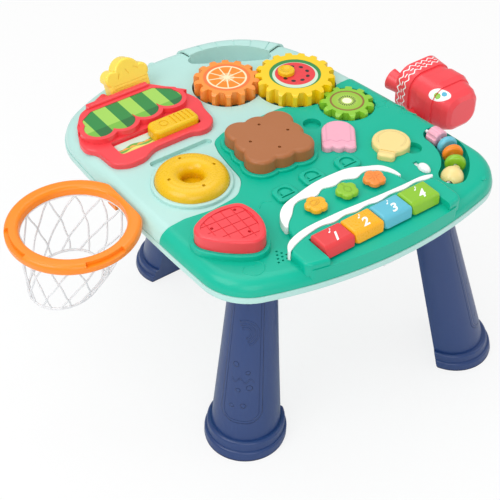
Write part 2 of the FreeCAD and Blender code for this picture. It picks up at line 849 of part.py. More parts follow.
def melon_knob():
    body = disc(knob_centre, 10.0, knob_base + 0.3, knob_base + 5.2)
    body = soft_top(body, knob_base + 5.2, 1.8)
    body = body.cut(Part.makeSphere(12.0, at(knob_centre, knob_base + 15.2)))
    return body.cut(disc(knob_centre, 3.08, knob_base - 1, knob_base + 2.0))


# Lift-out blocks
def donut_block():
    z0 = mint_level - pocket_depth + 0.2
    z1 = mint_level + donut_height
    r = donut_radius
    inner = 12.0
    section = Part.Wire([
        line(Vector(inner + 2, 0, z0), Vector(r, 0, z0)),
        line(Vector(r, 0, z0), Vector(r, 0, z1 - 11)),
        arc(Vector(r, 0, z1 - 11), Vector(r - 3.6, 0, z1 - 3.4), Vector(r - 13, 0, z1)),
        arc(Vector(r - 13, 0, z1), Vector(inner + 3.2, 0, z1 - 3.2), Vector(inner, 0, z1 - 11)),
        line(Vector(inner, 0, z1 - 11), Vector(inner + 2, 0, z0))])
    ring = Part.Face(section).revolve(Vector(0, 0, 0), Vector(0, 0, 1), 360)
    ring.translate(at(donut_centre))
    floor = disc(donut_centre, inner + 3, z0, z0 + 2)
    body = ring.fuse(floor)
    hollow = tube(donut_centre, r - 3, inner + 6, z0 - 1, z1 - 12)
    body = body.cut(hollow)
    for k in range(4):
        p = polar(donut_centre, 27.0, 84 + 90 * k)
        body = body.cut(disc(p, block_hole_radius, z1 - 6, z1 + 3))
    return body


def lift_block(wire_of, level, height, soft):
    z0 = level - pocket_depth + 0.2
    z1 = level + height
    body = prism(wire_of(), z0, z1)
    return soft_top(body, z1, soft), z0, z1


def biscuit_block():
    body, z0, z1 = lift_block(biscuit_outline, deck_height, biscuit_height, 4.0)
    h = biscuit_size / 2 - 9
    x, y = biscuit_centre
    hollow = turned(box(x - h, x + h, y - h, y + h, z0 - 1, z1 - 7), biscuit_centre, biscuit_turn)
    body = body.cut(hollow)
    for k in range(4):
        p = polar(biscuit_centre, 23.3, 82 + 90 * k)
        body = body.cut(disc(p, block_hole_radius, z1 - 5.5, z1 + 3))
    return body


def strawberry_block():
    body, z0, z1 = lift_block(strawberry_outline, deck_height, strawberry_height, 3.0)
    body = body.cut(prism(strawberry_outline(-4.0), z0 - 1, z1 - 6))
    well = prism(strawberry_outline(-6.5), z1 - 1.0, z1 + 5)
    body = body.cut(well)
    span = strawberry_outline(-6.5)
    area = prism(span, z1 - 2, z1 + 5)
    for k in range(-5, 6):
        for way in (0, 90):
            bar = box(-130 - 60, -130 + 60, -120 + 11.5 * k - 0.5, -120 + 11.5 * k + 0.5, z1 - 1.8, z1 + 1)
            bar = turned(bar, (-130.0, -120.0), way - 4)
            body = body.cut(bar.common(area))
    for p in ((-114.5, -103.0), (-150.0, -113.5), (-122.0, -139.0)):
        body = body.cut(disc(p, block_hole_radius, z1 - 5, z1 + 3))
    return largest(body)


def lolly_block():
    body, z0, z1 = lift_block(lolly_outline, deck_height, cream_rise, 3.0)
    return body.cut(prism(lolly_outline(-4.0), z0 - 1, z1 - 4))


def mushroom_block():
    body, z0, z1 = lift_block(mushroom_outline, deck_height, cream_rise, 3.0)
    body = body.cut(prism(mushroom_outline(-4.0), z0 - 1, z1 - 4))
    lip = turned(box(mushroom_centre[0] + 20.5, mushroom_centre[0] + 22.0, mushroom_centre[1] - 30,
                     mushroom_centre[1] + 30, z1 - 1.2, z1 + 2), mushroom_centre, mushroom_turn)
    return body.cut(lip)


# Shop front
shop_level = mint_level
shop_low = 7.0
shop_high = 13.5


def shop_outline():
    points = ((-166, 50), (-150, 41), (-131, 41), (-113, 51), (-63, 51), (-54, 46), (-42, 46),
              (-29, 57), (-26, 82), (-20, 99), (-25, 118), (-36, 130), (-52, 150), (-58, 156), (-128, 156),
              (-150, 149), (-166, 128), (-176, 106), (-177, 92), (-168, 82))
    return rounded(points, [15, 26, 26, 26, 18, 18, 15, 20, 26, 26, 26, 26, 26, 9, 26, 26, 26, 26, 14, 18])


scallops = ((-148.5, 109.5), (-121.0, 108.5), (-87.7, 112.0), (-54.3, 114.5))


def awning_outline(grow):
    """Striped cloth with four scallops along its front edge."""
    back = 142.0 + grow
    lobes = [disc(c, 16.3 + grow, 0, 1) for c in scallops]
    hull = rounded(((-161 - grow, 108), (-39 + grow, 114), (-41 + grow, 128), (-58, back),
                    (-140, back), (-157 - grow, 132)), [1, 1, 4, 6, 6, 6])
    body = join([prism(hull, 0, 1)] + lobes)
    face = [f for f in body.Faces if abs(f.CenterOfMass.z) < 1e-6][0]
    return face.OuterWire


def shop_frame():
    body = prism(shop_outline(), shop_level + 0.02, shop_level + shop_low)
    body = soft_top(body, shop_level + shop_low, 2.0)
    roof = prism(awning_outline(5.5), shop_level + 1, shop_level + shop_high)
    limit = prism(shop_outline(), shop_level, shop_level + 40)
    roof = roof.common(limit)
    eaves = prism(shop_outline(), shop_level + 1, shop_level + shop_high - 2).common(
        box(-200, 0, 118, 200, 0, 400))
    ridge = box(-139, -59, 147, 155, shop_level + 2, shop_level + shop_high + 3)
    ridge = ridge.makeFillet(2.0, [e for e in ridge.Edges if abs(e.BoundBox.ZMin - shop_level - shop_high - 3) < 1e-4])
    fin = prism(rounded(((-132, 150), (-104, 150), (-104, 160), (-107, 172), (-124, 163)), [1, 1, 2, 3, 6]),
                shop_level + 1, shop_level + 9)
    body = body.multiFuse([roof, eaves, ridge, fin])
    body = body.cut(prism(awning_outline(0.3), shop_level + shop_high - 2.2, shop_level + 60))
    body = body.cut(prism(awning_outline(-3.0), shop_level - 1, shop_level + shop_high - 4.4))
    slot = rounded(((-149, 60), (-44, 60), (-44, 86), (-149, 86)), 4)
    body = body.cut(prism(slot, shop_level + 1.5, shop_level + 60))
    return largest(body)


def awning_panel():
    z = shop_level + shop_high - 2.2
    body = prism(awning_outline(0.0), z + 0.02, z + 1.6)
    return body


def picture_strip():
    return prism(rounded(((-147, 62), (-62, 62), (-62, 84), (-147, 84)), 3), shop_level + 1.55, shop_level + 2.1)


def shop_slider():
    z = shop_level + 2.6
    top = shop_level + 15.0
    body = prism(rounded(((-104, 60.5), (-45, 60.5), (-45, 85.5), (-104, 85.5)), (9, 7, 7, 9)), z, top)
    body = soft_top(body, top, 4.0)
    for k in range(5):
        x = -74 + 5.5 * k
        body = body.cut(box(x - 0.9, x + 0.9, 65, 81, top - 1.0, top + 1))
    ring = tube((-86.5, 73), 5.5, 4.3, top - 0.7, top + 1)
    body = body.cut(ring)
    return body


def roof_sign():
    """Thick sign with three lobes at the top, leaning back behind the roof."""
    w = 26.0
    pts = [Vector(-w, 0, 0), Vector(w, 0, 0), Vector(w, 0, 14), Vector(w + 1, 0, 20)]
    edges = [line(pts[0], pts[1]), line(pts[1], pts[2]),
             arc(pts[2], Vector(w + 1.5, 0, 23), Vector(17, 0, 29)),
             arc(Vector(17, 0, 29), Vector(0, 0, 40), Vector(-15, 0, 29)),
             arc(Vector(-15, 0, 29), Vector(-w - 2.5, 0, 23), Vector(-w, 0, 13)),
             line(Vector(-w, 0, 13), pts[0])]
    body = Part.Face(Part.Wire(edges)).extrude(Vector(0, 16, 0))
    flat = [e for e in body.Edges if e.BoundBox.YMax < 1e-4]
    body = body.makeFillet(2.5, flat)
    for x, z, a in ((-12, 22, 25), (0, 25, -30), (12, 26, -60)):
        mark = Part.makeBox(1.2, 2.0, 7.0, Vector(-0.6, -1, -3.5))
        mark.rotate(Vector(0, 0, 0), Vector(0, 1, 0), a)
        mark.translate(Vector(x, 0, z))
        body = body.cut(mark)
    for k in range(3):
        body = body.cut(box(-w + 5, w - 3, -1, 0.8, 4 + 4 * k, 5 + 4 * k))
    body.rotate(Vector(0, 0, 0), Vector(1, 0, 0), -22)
    body.translate(Vector(-75, 158.5, shop_level + 6.2))
    body = body.cut(box(-200, 100, 100, 300, 0, shop_level + 0.05))
    return body.cut(box(-200, 100, 100, 158.0, 0, 400)).cut(box(-135, -101, 140, 200, 0, 277))


# Piano keys and fruit buttons
def key(index):
    x0 = keys_left + key_pitch * index + key_gap / 2
    x1 = x0 + key_pitch - key_gap
    back = keys_back
    z0 = deck_height + 4.2
    z1 = deck_height + key_height + 4
    front = back - key_length
    block = prism(rounded(((x0, front), (x1, front), (x1, back), (x0, back)), (4.5, 4.5, 2.5, 2.5)), z0, z1)
    block = soft_top(block, z1, key_round)
    side = Part.Wire([
        line(Vector(x0 - 1, back + 1, z0 - 1), Vector(x0 - 1, front - 0.2, z0 - 1)),
        line(Vector(x0 - 1, front - 0.2, z0 - 1), Vector(x0 - 1, front + 2.6, z1 - 5)),
        arc(Vector(x0 - 1, front + 2.6, z1 - 5), Vector(x0 - 1, front + 4.4, z1 - 1.7),
            Vector(x0 - 1, front + 8, z1 + 0.1)),
        line(Vector(x0 - 1, front + 8, z1 + 0.1), Vector(x0 - 1, back + 1, z1 + 0.1)),
        line(Vector(x0 - 1, back + 1, z1 + 0.1), Vector(x0 - 1, back + 1, z0 - 1))])
    body = block.common(Part.Face(side).extrude(Vector(x1 - x0 + 2, 0, 0)))
    inner = box(x0 + 2.5, x1 - 2.5, front + 5, back - 2.5, z0 - 1, z1 - 5)
    body = body.cut(inner)
    sink = (key_stem_reach + 4.0) * math.sin(math.radians(key_travel_deg))
    y = back - key_stem_reach
    stem = box((x0 + x1) / 2 - 4, (x0 + x1) / 2 + 4, y - 4, y + 4, dome_top + sink + 0.2, z1 - 4)
    return body.fuse(stem)


def fruit_button(spot):
    """A round fruit with five soft bumps, on a stem."""
    z0 = deck_height + platform_height + button_travel + 0.5
    top = z0 + 5.0
    lobes = [disc(polar(spot, button_radius - 6.0, 90 + 72 * k), 6.5, z0, top) for k in range(5)]
    body = join(lobes + [disc(spot, button_radius - 5, z0, top)])
    body = soft_top(body, top, 2.2)
    stem = disc(spot, 7.6, dome_top + button_travel + 0.2, z0 + 0.1)
    return body.fuse(stem)


def dome(spot, base):
    body = disc(spot, 4.0, base, base + dome_height)
    return soft_top(body, base + dome_height, 1.2)


def key_domes():
    top = board_level + board_thickness
    y = keys_back - key_stem_reach
    return group([dome((keys_left + key_pitch * (i + 0.5), y), top) for i in range(4)])


def button_domes():
    top = board_level + board_thickness
    return group([dome(p, top) for p in button_spots])


def circuit_board():
    body = box(-77, 69, -203, -129, board_level, board_level + board_thickness)
    body = body.cut(disc((0, -172), 1.2, 0, 400))
    chip = box(-20, -4, -160, -150, board_level + board_thickness, board_level + board_thickness + 2)
    return body.fuse(chip)


def white_trim(outer, inner, base, z):
    """A leaf shaped band between two curves that nearly meet at both ends."""
    curves = []
    for points in (outer, inner):
        curve = Part.BSplineCurve()
        curve.interpolate([at(p) for p in points])
        curves.append(curve.toShape())
    wire = Part.Wire([curves[0], line(at(outer[-1]), at(inner[-1])), curves[1], line(at(inner[0]), at(outer[0]))])
    return soft_top(prism(wire, base, z), z, trim_round)


def upper_trim():
    """A leaf shaped band along the back of the fruit step, wavy on its inner side."""
    outer = ((-81.1, -145.2), (-78.6, -133.5), (-72.8, -124.1), (-60.7, -115.0), (-42.5, -110.0),
             (-15.8, -104.7), (15.6, -104.3), (34.1, -107.0), (48.8, -114.5), (62.9, -122.6),
             (69.3, -134.8), (70.2, -148.3))
    inner = ((-78.6, -146.0), (-71.0, -138.0), (-62.0, -131.0), (-52.3, -121.6), (-38.8, -119.0), (-23.2, -123.0),
             (-12.5, -117.8), (1.7, -121.0), (14.9, -118.6), (29.9, -124.3), (38.9, -121.4),
             (52.6, -125.4), (63.3, -136.2), (67.9, -148.0))
    z = deck_height + platform_height
    body = white_trim(outer, inner, deck_height + 0.2, z + trim_rise)
    return largest(body.cut(prism(platform_outline(0.1), deck_height - 1, z + 0.05)))


def lower_trim():
    """A longer leaf shaped band along the back of the key step."""
    outer = ((-102.6, -177.0), (-94.0, -166.5), (-80.0, -161.0), (-63.0, -158.5), (-40.0, -158.5),
             (-20.0, -159.0), (6.0, -161.0), (40.0, -163.0), (68.0, -164.0), (86.0, -165.0), (96.0, -169.0))
    inner = ((-101.0, -178.6), (-90.0, -173.0), (-77.0, -169.0), (-63.0, -166.5), (-48.0, -166.0),
             (-38.0, -168.5), (-20.0, -166.5), (-9.0, -169.0), (8.0, -167.5), (18.0, -170.0), (40.0, -168.0),
             (55.0, -170.5), (72.0, -168.5), (86.0, -171.5), (95.0, -171.0))
    z = deck_height + housing_height
    body = white_trim(outer, inner, deck_height + 0.2, z + trim_rise)
    body = body.cut(prism(housing_outline(0.1), deck_height - 1, z + 0.05))
    body = body.cut(prism(platform_outline(0.1), deck_height - 1, deck_height + platform_height + 0.05))
    return largest(body)


# Switch, speaker and power
def toggle():
    x, y = switch_centre
    body = Part.makeSphere(1.0, Vector(0, 0, 0))
    grow = FreeCAD.Matrix()
    grow.scale(5.6, 8.6, 6.0)
    body = body.transformGeometry(grow)
    body = body.cut(box(-20, 20, -20, 20, -20, 0))
    body.translate(Vector(x, y, deck_height + 0.4))
    stem = box(x - 2.6, x + 2.6, y - 5, y + 5, deck_height - 6, deck_height + 1.5)
    foot = box(x - 5, x + 5, y - 10, y + 17, deck_height - wall - 2.0, deck_height - wall - 0.3)
    return join([body, stem, foot])


def speaker():
    cone = disc(speaker_centre, 15.6, tray_floor + 8.2, tray_floor + 12.2)
    cone = cone.fuse(disc(speaker_centre, 9.0, tray_floor + 1.0, tray_floor + 8.4))
    dish = Part.makeCone(6.0, 13.0, 3.0, at(speaker_centre, tray_floor + 9.4))
    return cone.cut(dish)


def battery_box():
    x, y = battery_centre
    top = tray_floor + 17.0
    body = box(x - 33, x + 33, y - 28, y + 28, tray_floor + 0.02, top)
    body = body.cut(box(x - 30, x + 30, y - 25, y + 25, tray_floor - 1, top - 2))
    body = body.fuse(box(x - 36, x + 36, y - 31, y + 31, tray_floor + 0.02, tray_floor + 2))
    body = body.cut(box(x - 30, x + 30, y - 25, y + 25, tray_floor - 1, tray_floor + 5))
    pillar = disc((x + door_screw_offset, y), 3.2, tray_floor + 0.1, top - 1)
    return body.fuse(pillar).cut(disc((x + door_screw_offset, y), 1.42, tray_floor - 1, top - 4))


door_screw_offset = 28.0


def cell_spots():
    return [(battery_centre[0] - 3.0, battery_centre[1] + (k - 1) * (2 * cell_radius + 1.2)) for k in range(3)]


def cell(spot):
    z = tray_floor + 1.0 + cell_radius
    start = Vector(spot[0] - cell_length / 2, spot[1], z)
    body = Part.makeCylinder(cell_radius, cell_length - 1.5, start, Vector(1, 0, 0))
    cap = Part.makeCylinder(2.6, 1.6, start + Vector(cell_length - 1.6, 0, 0), Vector(1, 0, 0))
    return body.fuse(cap)


def contact_plates():
    z = tray_floor + 1.0
    plates = []
    for x, y in cell_spots():
        for side in (-1, 1):
            px = x + side * (cell_length / 2 + 1.6)
            plates.append(box(px - 0.25, px + 0.25, y - 5, y + 5, z, z + 2 * cell_radius))
    return group(plates)


def battery_door():
    x, y = battery_centre
    gap = 0.3
    body = box(x - 33 + gap, x + 33 - gap, y - 28 + gap, y + 28 - gap, tray_base, tray_base + 2.0)
    boss = disc((x + door_screw_offset, y), 4.5, tray_base, tray_base + 2.0)
    body = body.fuse(boss)
    hole = disc((x + door_screw_offset, y), 1.8, tray_base - 1, tray_base + 9)
    for k in range(4):
        body = body.cut(box(x - 30, x - 16, y - 8 + 4 * k, y - 6.6 + 4 * k, tray_base - 1, tray_base + 0.5))
    return body.cut(hole).cut(disc((x + door_screw_offset, y), 3.4, tray_base - 1, tray_base + 1.0))


def door_screw():
    x, y = battery_centre
    body = disc((x + door_screw_offset, y), 3.1, tray_base + 0.1, tray_base + 1.0)
    return body.fuse(disc((x + door_screw_offset, y), 1.4, tray_base + 0.9, tray_base + 9.0))


def panel_screws():
    screws = []
    for p in screw_spots:
        head = disc(p, 3.2, tray_base + 1.2, tray_base + 3.0)
        shank = disc(p, screw_radius - 0.02, tray_base + 2.9, tray_base + 14.0)
        slot = box(p[0] - 3.5, p[0] + 3.5, p[1] - 0.4, p[1] + 0.4, tray_base, tray_base + 1.8)
        screws.append(head.fuse(shank).cut(slot))
    return group(screws)


def leg_screws():
    """One screw through each socket into the leg's plug, from the flat inner side."""
    screws = []
    for foot, way in leg_places():
        top = leg_top(foot, way)
        a = math.radians(way)
        out = Vector(math.cos(a), math.sin(a), 0)
        start = at(top, tray_base - plug_length / 2) - out * (leg_flat + 2.02)
        head = Part.makeCylinder(3.4, 2.0, start, out)
        shank = Part.makeCylinder(screw_radius, 9.0, start + out * 1.9, out)
        screws.append(head.fuse(shank))
    return group(screws)


def screw_path(foot, way, radius):
    top = leg_top(foot, way)
    a = math.radians(way)
    out = Vector(math.cos(a), math.sin(a), 0)
    start = at(top, tray_base - plug_length / 2) - out * (leg_flat + 2.02)
    return Part.makeCylinder(radius, 16.4, start, out)


# Beads
bead_plan = (("bead_pink", 2.0), ("bead_blue", -14.0), ("bead_orange", -26.5), ("bead_green", -41.0),
             ("bead_cream", -59.0))


def bead_rod():
    return ring_arc(bead_arc_radius, 15.2, -73.7, rod_radius, bead_level)


def bead_shape(name):
    """Each bead is turned about its own hole, here along X."""
    r = bead_radius
    if name == "bead_pink":
        body = Part.makeCylinder(r - 1.5, 16, Vector(-8, 0, 0), Vector(1, 0, 0))
        body = body.makeFillet(3.0, body.Edges[:1] + body.Edges[2:3])
        for k in range(7):
            a = 2 * math.pi * k / 7
            groove = Vector(-10, (r + 0.1) * math.cos(a), (r + 0.1) * math.sin(a))
            body = body.cut(Part.makeCylinder(3.0, 20, groove, Vector(1, 0, 0)))
        body = body.fuse(Part.makeCylinder(5.0, 2.5, Vector(-10.4, 0, 0), Vector(1, 0, 0)))
    elif name == "bead_cream":
        body = Part.makeSphere(r + 0.5, Vector(2.5, 0, 0))
        body = body.common(Part.makeCylinder(r + 1, 24, Vector(-9, 0, 0), Vector(1, 0, 0)))
        body = body.fuse(Part.makeCone(4.2, 6.4, 7, Vector(-15, 0, 0), Vector(1, 0, 0)))
    else:
        body = Part.makeCylinder(r - 0.3, 8.4, Vector(-4.2, 0, 0), Vector(1, 0, 0))
        body = body.makeFillet(3.6, [body.Edges[0], body.Edges[2]])
        hub = 6.2 if name == "bead_blue" else 8.4
        body = body.fuse(Part.makeCylinder(4.6, hub - 1, Vector(-hub, 0, 0), Vector(1, 0, 0)))
    half = max(body.BoundBox.XMax, -body.BoundBox.XMin)
    bow = half ** 2 / (2 * bead_arc_radius)
    hole = Part.makeCylinder(rod_radius + bead_fit + bow, 60, Vector(-30, 0, 0), Vector(1, 0, 0))
    return body.cut(hole)


def bead(name, degrees):
    body = bead_shape(name)
    body.rotate(Vector(0, 0, 0), Vector(0, 0, 1), degrees - 90)
    body.translate(at(polar(bead_arc_centre, bead_arc_radius, degrees), bead_level))
    return body


# Hoop and net
hoop_level = deck_height - 5.0


def hoop_ring():
    z0 = hoop_level - hoop_thickness / 2
    z1 = hoop_level + hoop_thickness / 2
    section = rounded([(hoop_radius - hoop_band, z0), (hoop_radius, z0), (hoop_radius, z1),
                       (hoop_radius - hoop_band, z1)], [3, 5, 5, 5])
    section.rotate(Vector(0, 0, 0), Vector(1, 0, 0), 90)
    ring = Part.Face(section).revolve(Vector(0, 0, 0), Vector(0, 0, 1), 360)
    ring.translate(at(hoop_centre))
    ring = Part.makeSolid(Part.Shell(ring.Faces)) if not ring.Solids else ring.Solids[0]
    ring = ring.cut(box(hoop_cut, hoop_cut + 60, -200, 200, 0, 400))
    half = math.sqrt(hoop_radius ** 2 - (hoop_cut - hoop_centre[0]) ** 2)
    bar = box(hoop_cut - 9, hoop_cut, hoop_centre[1] - half + 6, hoop_centre[1] + half - 6, z0 + 1, z1 - 2)
    hole = disc(hoop_centre, hoop_radius - hoop_band, z0 - 1, z1 + 1)
    ring = ring.fuse(bar.cut(hole))
    for a0, a1 in ((153.0, 195.0), (251.0, 288.0)):
        wedge = Part.makePolygon([at(hoop_centre), at(polar(hoop_centre, 120, a0)),
                                  at(polar(hoop_centre, 130, (a0 + a1) / 2)),
                                  at(polar(hoop_centre, 120, a1)), at(hoop_centre)])
        ledge = prism(wedge, z1 - hoop_ledge, z1 + 2).cut(disc(hoop_centre, hoop_radius - 5.0, 0, 400))
        ring = ring.cut(ledge)
    for y in tongue_rows:
        yy = hoop_centre[1] + y
        arm = box(hoop_cut - 3.2, hoop_cut + 14.0, yy - 8, yy + 8, tongue_low, tongue_low + 4)
        drop = box(hoop_cut - 3.2, hoop_cut - 0.02, yy - 8, yy + 8, tongue_low, hoop_level)
        ring = ring.multiFuse([arm, drop])
    ring = ring.cut(net_groove())
    return ring


def net_groove():
    z0 = hoop_level - hoop_thickness / 2
    r = hoop_radius - hoop_band
    return tube(hoop_centre, r + 2.4, r - 3.0, z0 - 1, z0 + 3.0)


def net_radius(t):
    """Radius of the net at a share t of its length: straight at first, then drawn in."""
    top = hoop_radius - hoop_band + 0.9
    return net_base_radius + (top - net_base_radius) * (1 - t ** 1.6)


def hoop_net():
    """The net as a thin funnel with diamond gaps, closed by a ring at top and bottom."""
    z1 = hoop_level - hoop_thickness / 2 + 2.6
    outer = []
    inner = []
    for k in range(7):
        t = k / 6
        outer.append(Vector(net_radius(t) + net_cord / 2, 0, z1 - net_length * t))
        inner.append(Vector(net_radius(t) - net_cord / 2, 0, z1 - net_length * t))
    a = Part.BSplineCurve()
    a.interpolate(outer)
    b = Part.BSplineCurve()
    b.interpolate(inner)
    section = Part.Wire([a.toShape(), line(outer[-1], inner[-1]), b.toShape(), line(inner[0], outer[0])])
    body = Part.Face(section).revolve(Vector(0, 0, 0), Vector(0, 0, 1), 360)
    body = body.Solids[0] if body.Solids else Part.makeSolid(Part.Shell(body.Faces))
    count = 12
    rows = 4
    tall = net_length / rows
    for row in range(rows + 1):
        for k in range(count):
            t = row / rows
            if row in (0, rows):
                high = 0.32 * tall
                mid = z1 - net_length * t + (-0.30 if row == 0 else 0.30) * tall
            else:
                high = 0.5 * tall - net_cord * 1.3
                mid = z1 - net_length * t
            turn = 360.0 / count * (k + 0.5 * (row % 2))
            width = math.pi * net_radius(t) / count - net_cord * 1.1
            gap = Part.makePolygon([Vector(0, -width, 0), Vector(0, 0, -high), Vector(0, width, 0),
                                    Vector(0, 0, high), Vector(0, -width, 0)])
            cutter = Part.Face(gap).extrude(Vector(200, 0, 0))
            cutter.translate(Vector(4, 0, mid))
            cutter.rotate(Vector(0, 0, 0), Vector(0, 0, 1), turn)
            body = body.cut(cutter)
    body.translate(at(hoop_centre))
    return body


# Storage cup at the right edge
def box_wire(width, height, radius, y):
    x, z = cup_centre[0], deck_height + cup_centre[1]
    w, h = width / 2, height / 2
    wire = rounded([(-w, -h), (w, -h), (w, h), (-w, h)], radius)
    wire.rotate(Vector(0, 0, 0), Vector(1, 0, 0), 90)
    wire.translate(Vector(x, y, z))
    return wire


def cup_run(stations, grow):
    solids = []
    for (y0, w0, h0, r0), (y1, w1, h1, r1) in zip(stations[:-1], stations[1:]):
        a = box_wire(w0 - 2 * grow, h0 - 2 * grow, max(2.0, r0 - grow), y0)
        b = box_wire(w1 - 2 * grow, h1 - 2 * grow, max(2.0, r1 - grow), y1)
        solids.append(Part.makeLoft([a, b], True, True))
    return join(solids)


def storage_cup():
    """Hollow cup that lies along the edge with its mouth away from the child."""
    back = cup_back
    front = back - cup_length
    skin = ((front, 36, 32, 12), (front + 3, 46, 42, 15), (front + 10, 53, 49, 17), (back - 57, 57, 53, 18))
    bulge = ((back - 57, 60, 56, 19), (back - 50, 65, 60, 20), (back - 33, 64, 59, 20))
    neck = ((back - 33, 58, 54, 18), (back - 20, 59, 54, 18))
    mouth = ((back - 20, 64, 58, 20), (back, 66, 60, 20))
    outer = join([cup_run(s, 0.0) for s in (skin, bulge, neck, mouth)])
    hollow = ((front + 3.5, 40, 36, 12), (front + 10.5, 48, 44, 15), (back - 33, 53, 49, 16),
              (back - 20, 54, 49, 16), (back + 1, 61, 55, 18))
    body = outer.cut(cup_run(hollow, 0.0))
    x, z = cup_centre[0], deck_height + cup_centre[1]
    root = Vector(x - 22, back - 6, z + 4)
    lean = Vector(-0.12, 1, 0.05)
    lip = Part.makeCone(11.0, 13.5, 22, root, lean).cut(box(x - 22, x + 60, -100, 100, 0, 400))
    lip_in = Part.makeCone(8.4, 11.4, 26, root - lean * 2, lean)
    body = body.fuse(lip).cut(lip_in.common(box(x - 60, x + 20, back - 6, 100, 0, 400)))
    body = largest(body)
    edge = 150.0
    arm = box(edge + 6, x - 20, -62, -34, tongue_low, tongue_low + 4)
    body = body.fuse(arm.cut(cup_run(hollow, 0.0)))
    return largest(body)


def release_tab():
    """Small catch below the front edge."""
    body = box(-6, 18, -214, -198, tray_base - 9, tray_base - 0.02)
    return body.makeFillet(3.0, [e for e in body.Edges if abs(e.BoundBox.ZMax - tray_base + 9) < 1e-4])


def build():
    legs = {"leg_front_left": (left_foot, left_leg_way), "leg_front_right": (right_foot, right_leg_way),
            "leg_rear": (rear_foot, rear_leg_way)}
    for name, (foot, way) in legs.items():
        hole = screw_path(foot, way, screw_radius + 0.02)
        save(name, leg(foot, way).cut(hole))
        save(name.replace("leg", "foot"), foot_cap(foot, way))
    save("base_tray", base_tray())
    save("leg_sockets", leg_sockets())
    save("deck_green", deck_green())
    save("deck_mint", deck_mint())
    save("handle_grip", handle_grip())
    save("leg_screws", leg_screws())
    save("panel_screws", panel_screws())
    save("gear_orange", gear(orange_centre, orange_teeth, orange_turn, orange_gear_rise,
                             orange_label_radius))
    save("gear_melon", melon_gear())
    save("gear_kiwi", gear(kiwi_centre, kiwi_teeth, kiwi_turn, kiwi_gear_rise, kiwi_label_radius))
    save("label_orange", gear_label(orange_centre, orange_label_radius, orange_gear_rise))
    save("label_melon", melon_label())
    save("label_kiwi", gear_label(kiwi_centre, kiwi_label_radius, kiwi_gear_rise))
    save("gear_posts", group([gear_post(orange_centre, orange_gear_rise),
                              gear_post(melon_centre, melon_gear_rise),
                              gear_post(kiwi_centre, kiwi_gear_rise)]))
    save("melon_knob", melon_knob())
    save("block_donut", donut_block())
    save("block_biscuit", biscuit_block())
    save("block_strawberry", strawberry_block())
    save("block_lolly", lolly_block())
    save("block_mushroom", mushroom_block())
    save("shop_frame", shop_frame())
    save("awning_panel", awning_panel())
    save("picture_strip", picture_strip())
    save("shop_slider", shop_slider())
    save("roof_sign", roof_sign())
    for i, name in enumerate(("key_red", "key_yellow", "key_blue", "key_green")):
        save(name, key(i))
    for spot, name in zip(button_spots, ("button_yellow", "button_green", "button_orange")):
        save(name, fruit_button(spot))
    save("key_domes", key_domes())
    save("button_domes", button_domes())
    save("circuit_board", circuit_board())
    save("trim_upper", upper_trim())
    save("trim_lower", lower_trim())
    save("power_switch", toggle())
    save("speaker", speaker())
    save("battery_box", battery_box())
    save("battery_cells", group([cell(p) for p in cell_spots()]))
    save("contact_plates", contact_plates())
    save("battery_door", battery_door())
    save("door_screw", door_screw())
    save("bead_rod", bead_rod())
    for name, degrees in bead_plan:
        save(name, bead(name, degrees))
    save("hoop_ring", hoop_ring())
    save("hoop_net", hoop_net())
    save("storage_cup", storage_cup())
    save("release_tab", release_tab())


build()
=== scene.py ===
"""Toddler play table dressed for its picture, in metres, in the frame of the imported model."""

import math

import bpy
import numpy as np
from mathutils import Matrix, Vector


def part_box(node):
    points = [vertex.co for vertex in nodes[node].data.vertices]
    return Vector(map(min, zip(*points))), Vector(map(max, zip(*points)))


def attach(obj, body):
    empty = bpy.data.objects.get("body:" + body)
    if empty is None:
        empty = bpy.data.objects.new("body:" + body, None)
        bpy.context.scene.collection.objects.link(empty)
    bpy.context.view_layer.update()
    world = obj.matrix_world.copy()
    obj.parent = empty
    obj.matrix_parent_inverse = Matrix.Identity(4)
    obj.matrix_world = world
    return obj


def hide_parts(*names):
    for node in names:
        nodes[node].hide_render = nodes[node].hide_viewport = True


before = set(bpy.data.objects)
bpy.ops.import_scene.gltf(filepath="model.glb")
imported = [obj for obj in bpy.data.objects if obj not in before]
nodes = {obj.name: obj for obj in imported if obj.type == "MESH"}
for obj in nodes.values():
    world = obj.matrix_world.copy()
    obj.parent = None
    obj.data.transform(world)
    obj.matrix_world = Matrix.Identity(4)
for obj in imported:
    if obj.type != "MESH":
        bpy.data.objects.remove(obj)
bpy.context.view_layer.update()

# The middle of the panel in the frame, and the height of its deck, in millimetres
MIDDLE = np.array([33.0, 10.4])
DECK = 260.0

# Where the picture is taken from and what it looks at, in millimetres from the middle of the panel, then
# the width of the film and the focal length in millimetres
CAMERA_PLACE = (-650.9, -867.6, 1058.3)
CAMERA_TARGET = (-124.2, -142.7, DECK)
CAMERA_SENSOR = 36.0
CAMERA_LENS = 86.4

# Strength of the white surroundings as light, and as the background of the picture
SKY_LIGHT = 0.575
SKY_SEEN = 1.0


def metres(points):
    """Points measured in millimetres from the middle of the panel, put into the frame in metres."""
    p = np.array(points, float)
    p[..., :2] += MIDDLE
    return p / 1000.0


# Camera and light

def aim(thing, target):
    """Turns a camera or lamp so that it looks at the target."""
    thing.rotation_euler = (Vector(target) - thing.location).to_track_quat("-Z", "Y").to_euler()


camera = bpy.data.objects.new("camera", bpy.data.cameras.new("camera"))
camera.data.sensor_width = CAMERA_SENSOR
camera.data.lens = CAMERA_LENS
camera.location = metres(CAMERA_PLACE)
aim(camera, metres(CAMERA_TARGET))
scene = bpy.context.scene
scene.collection.objects.link(camera)
scene.camera = camera


def soft_lamp(name, place, target, size, power):
    """A round lamp of a diameter in metres and a power in watts."""
    data = bpy.data.lights.new(name, "AREA")
    data.shape = "DISK"
    data.size = size
    data.energy = power
    lamp = bpy.data.objects.new(name, data)
    lamp.location = place
    scene.collection.objects.link(lamp)
    aim(lamp, target)


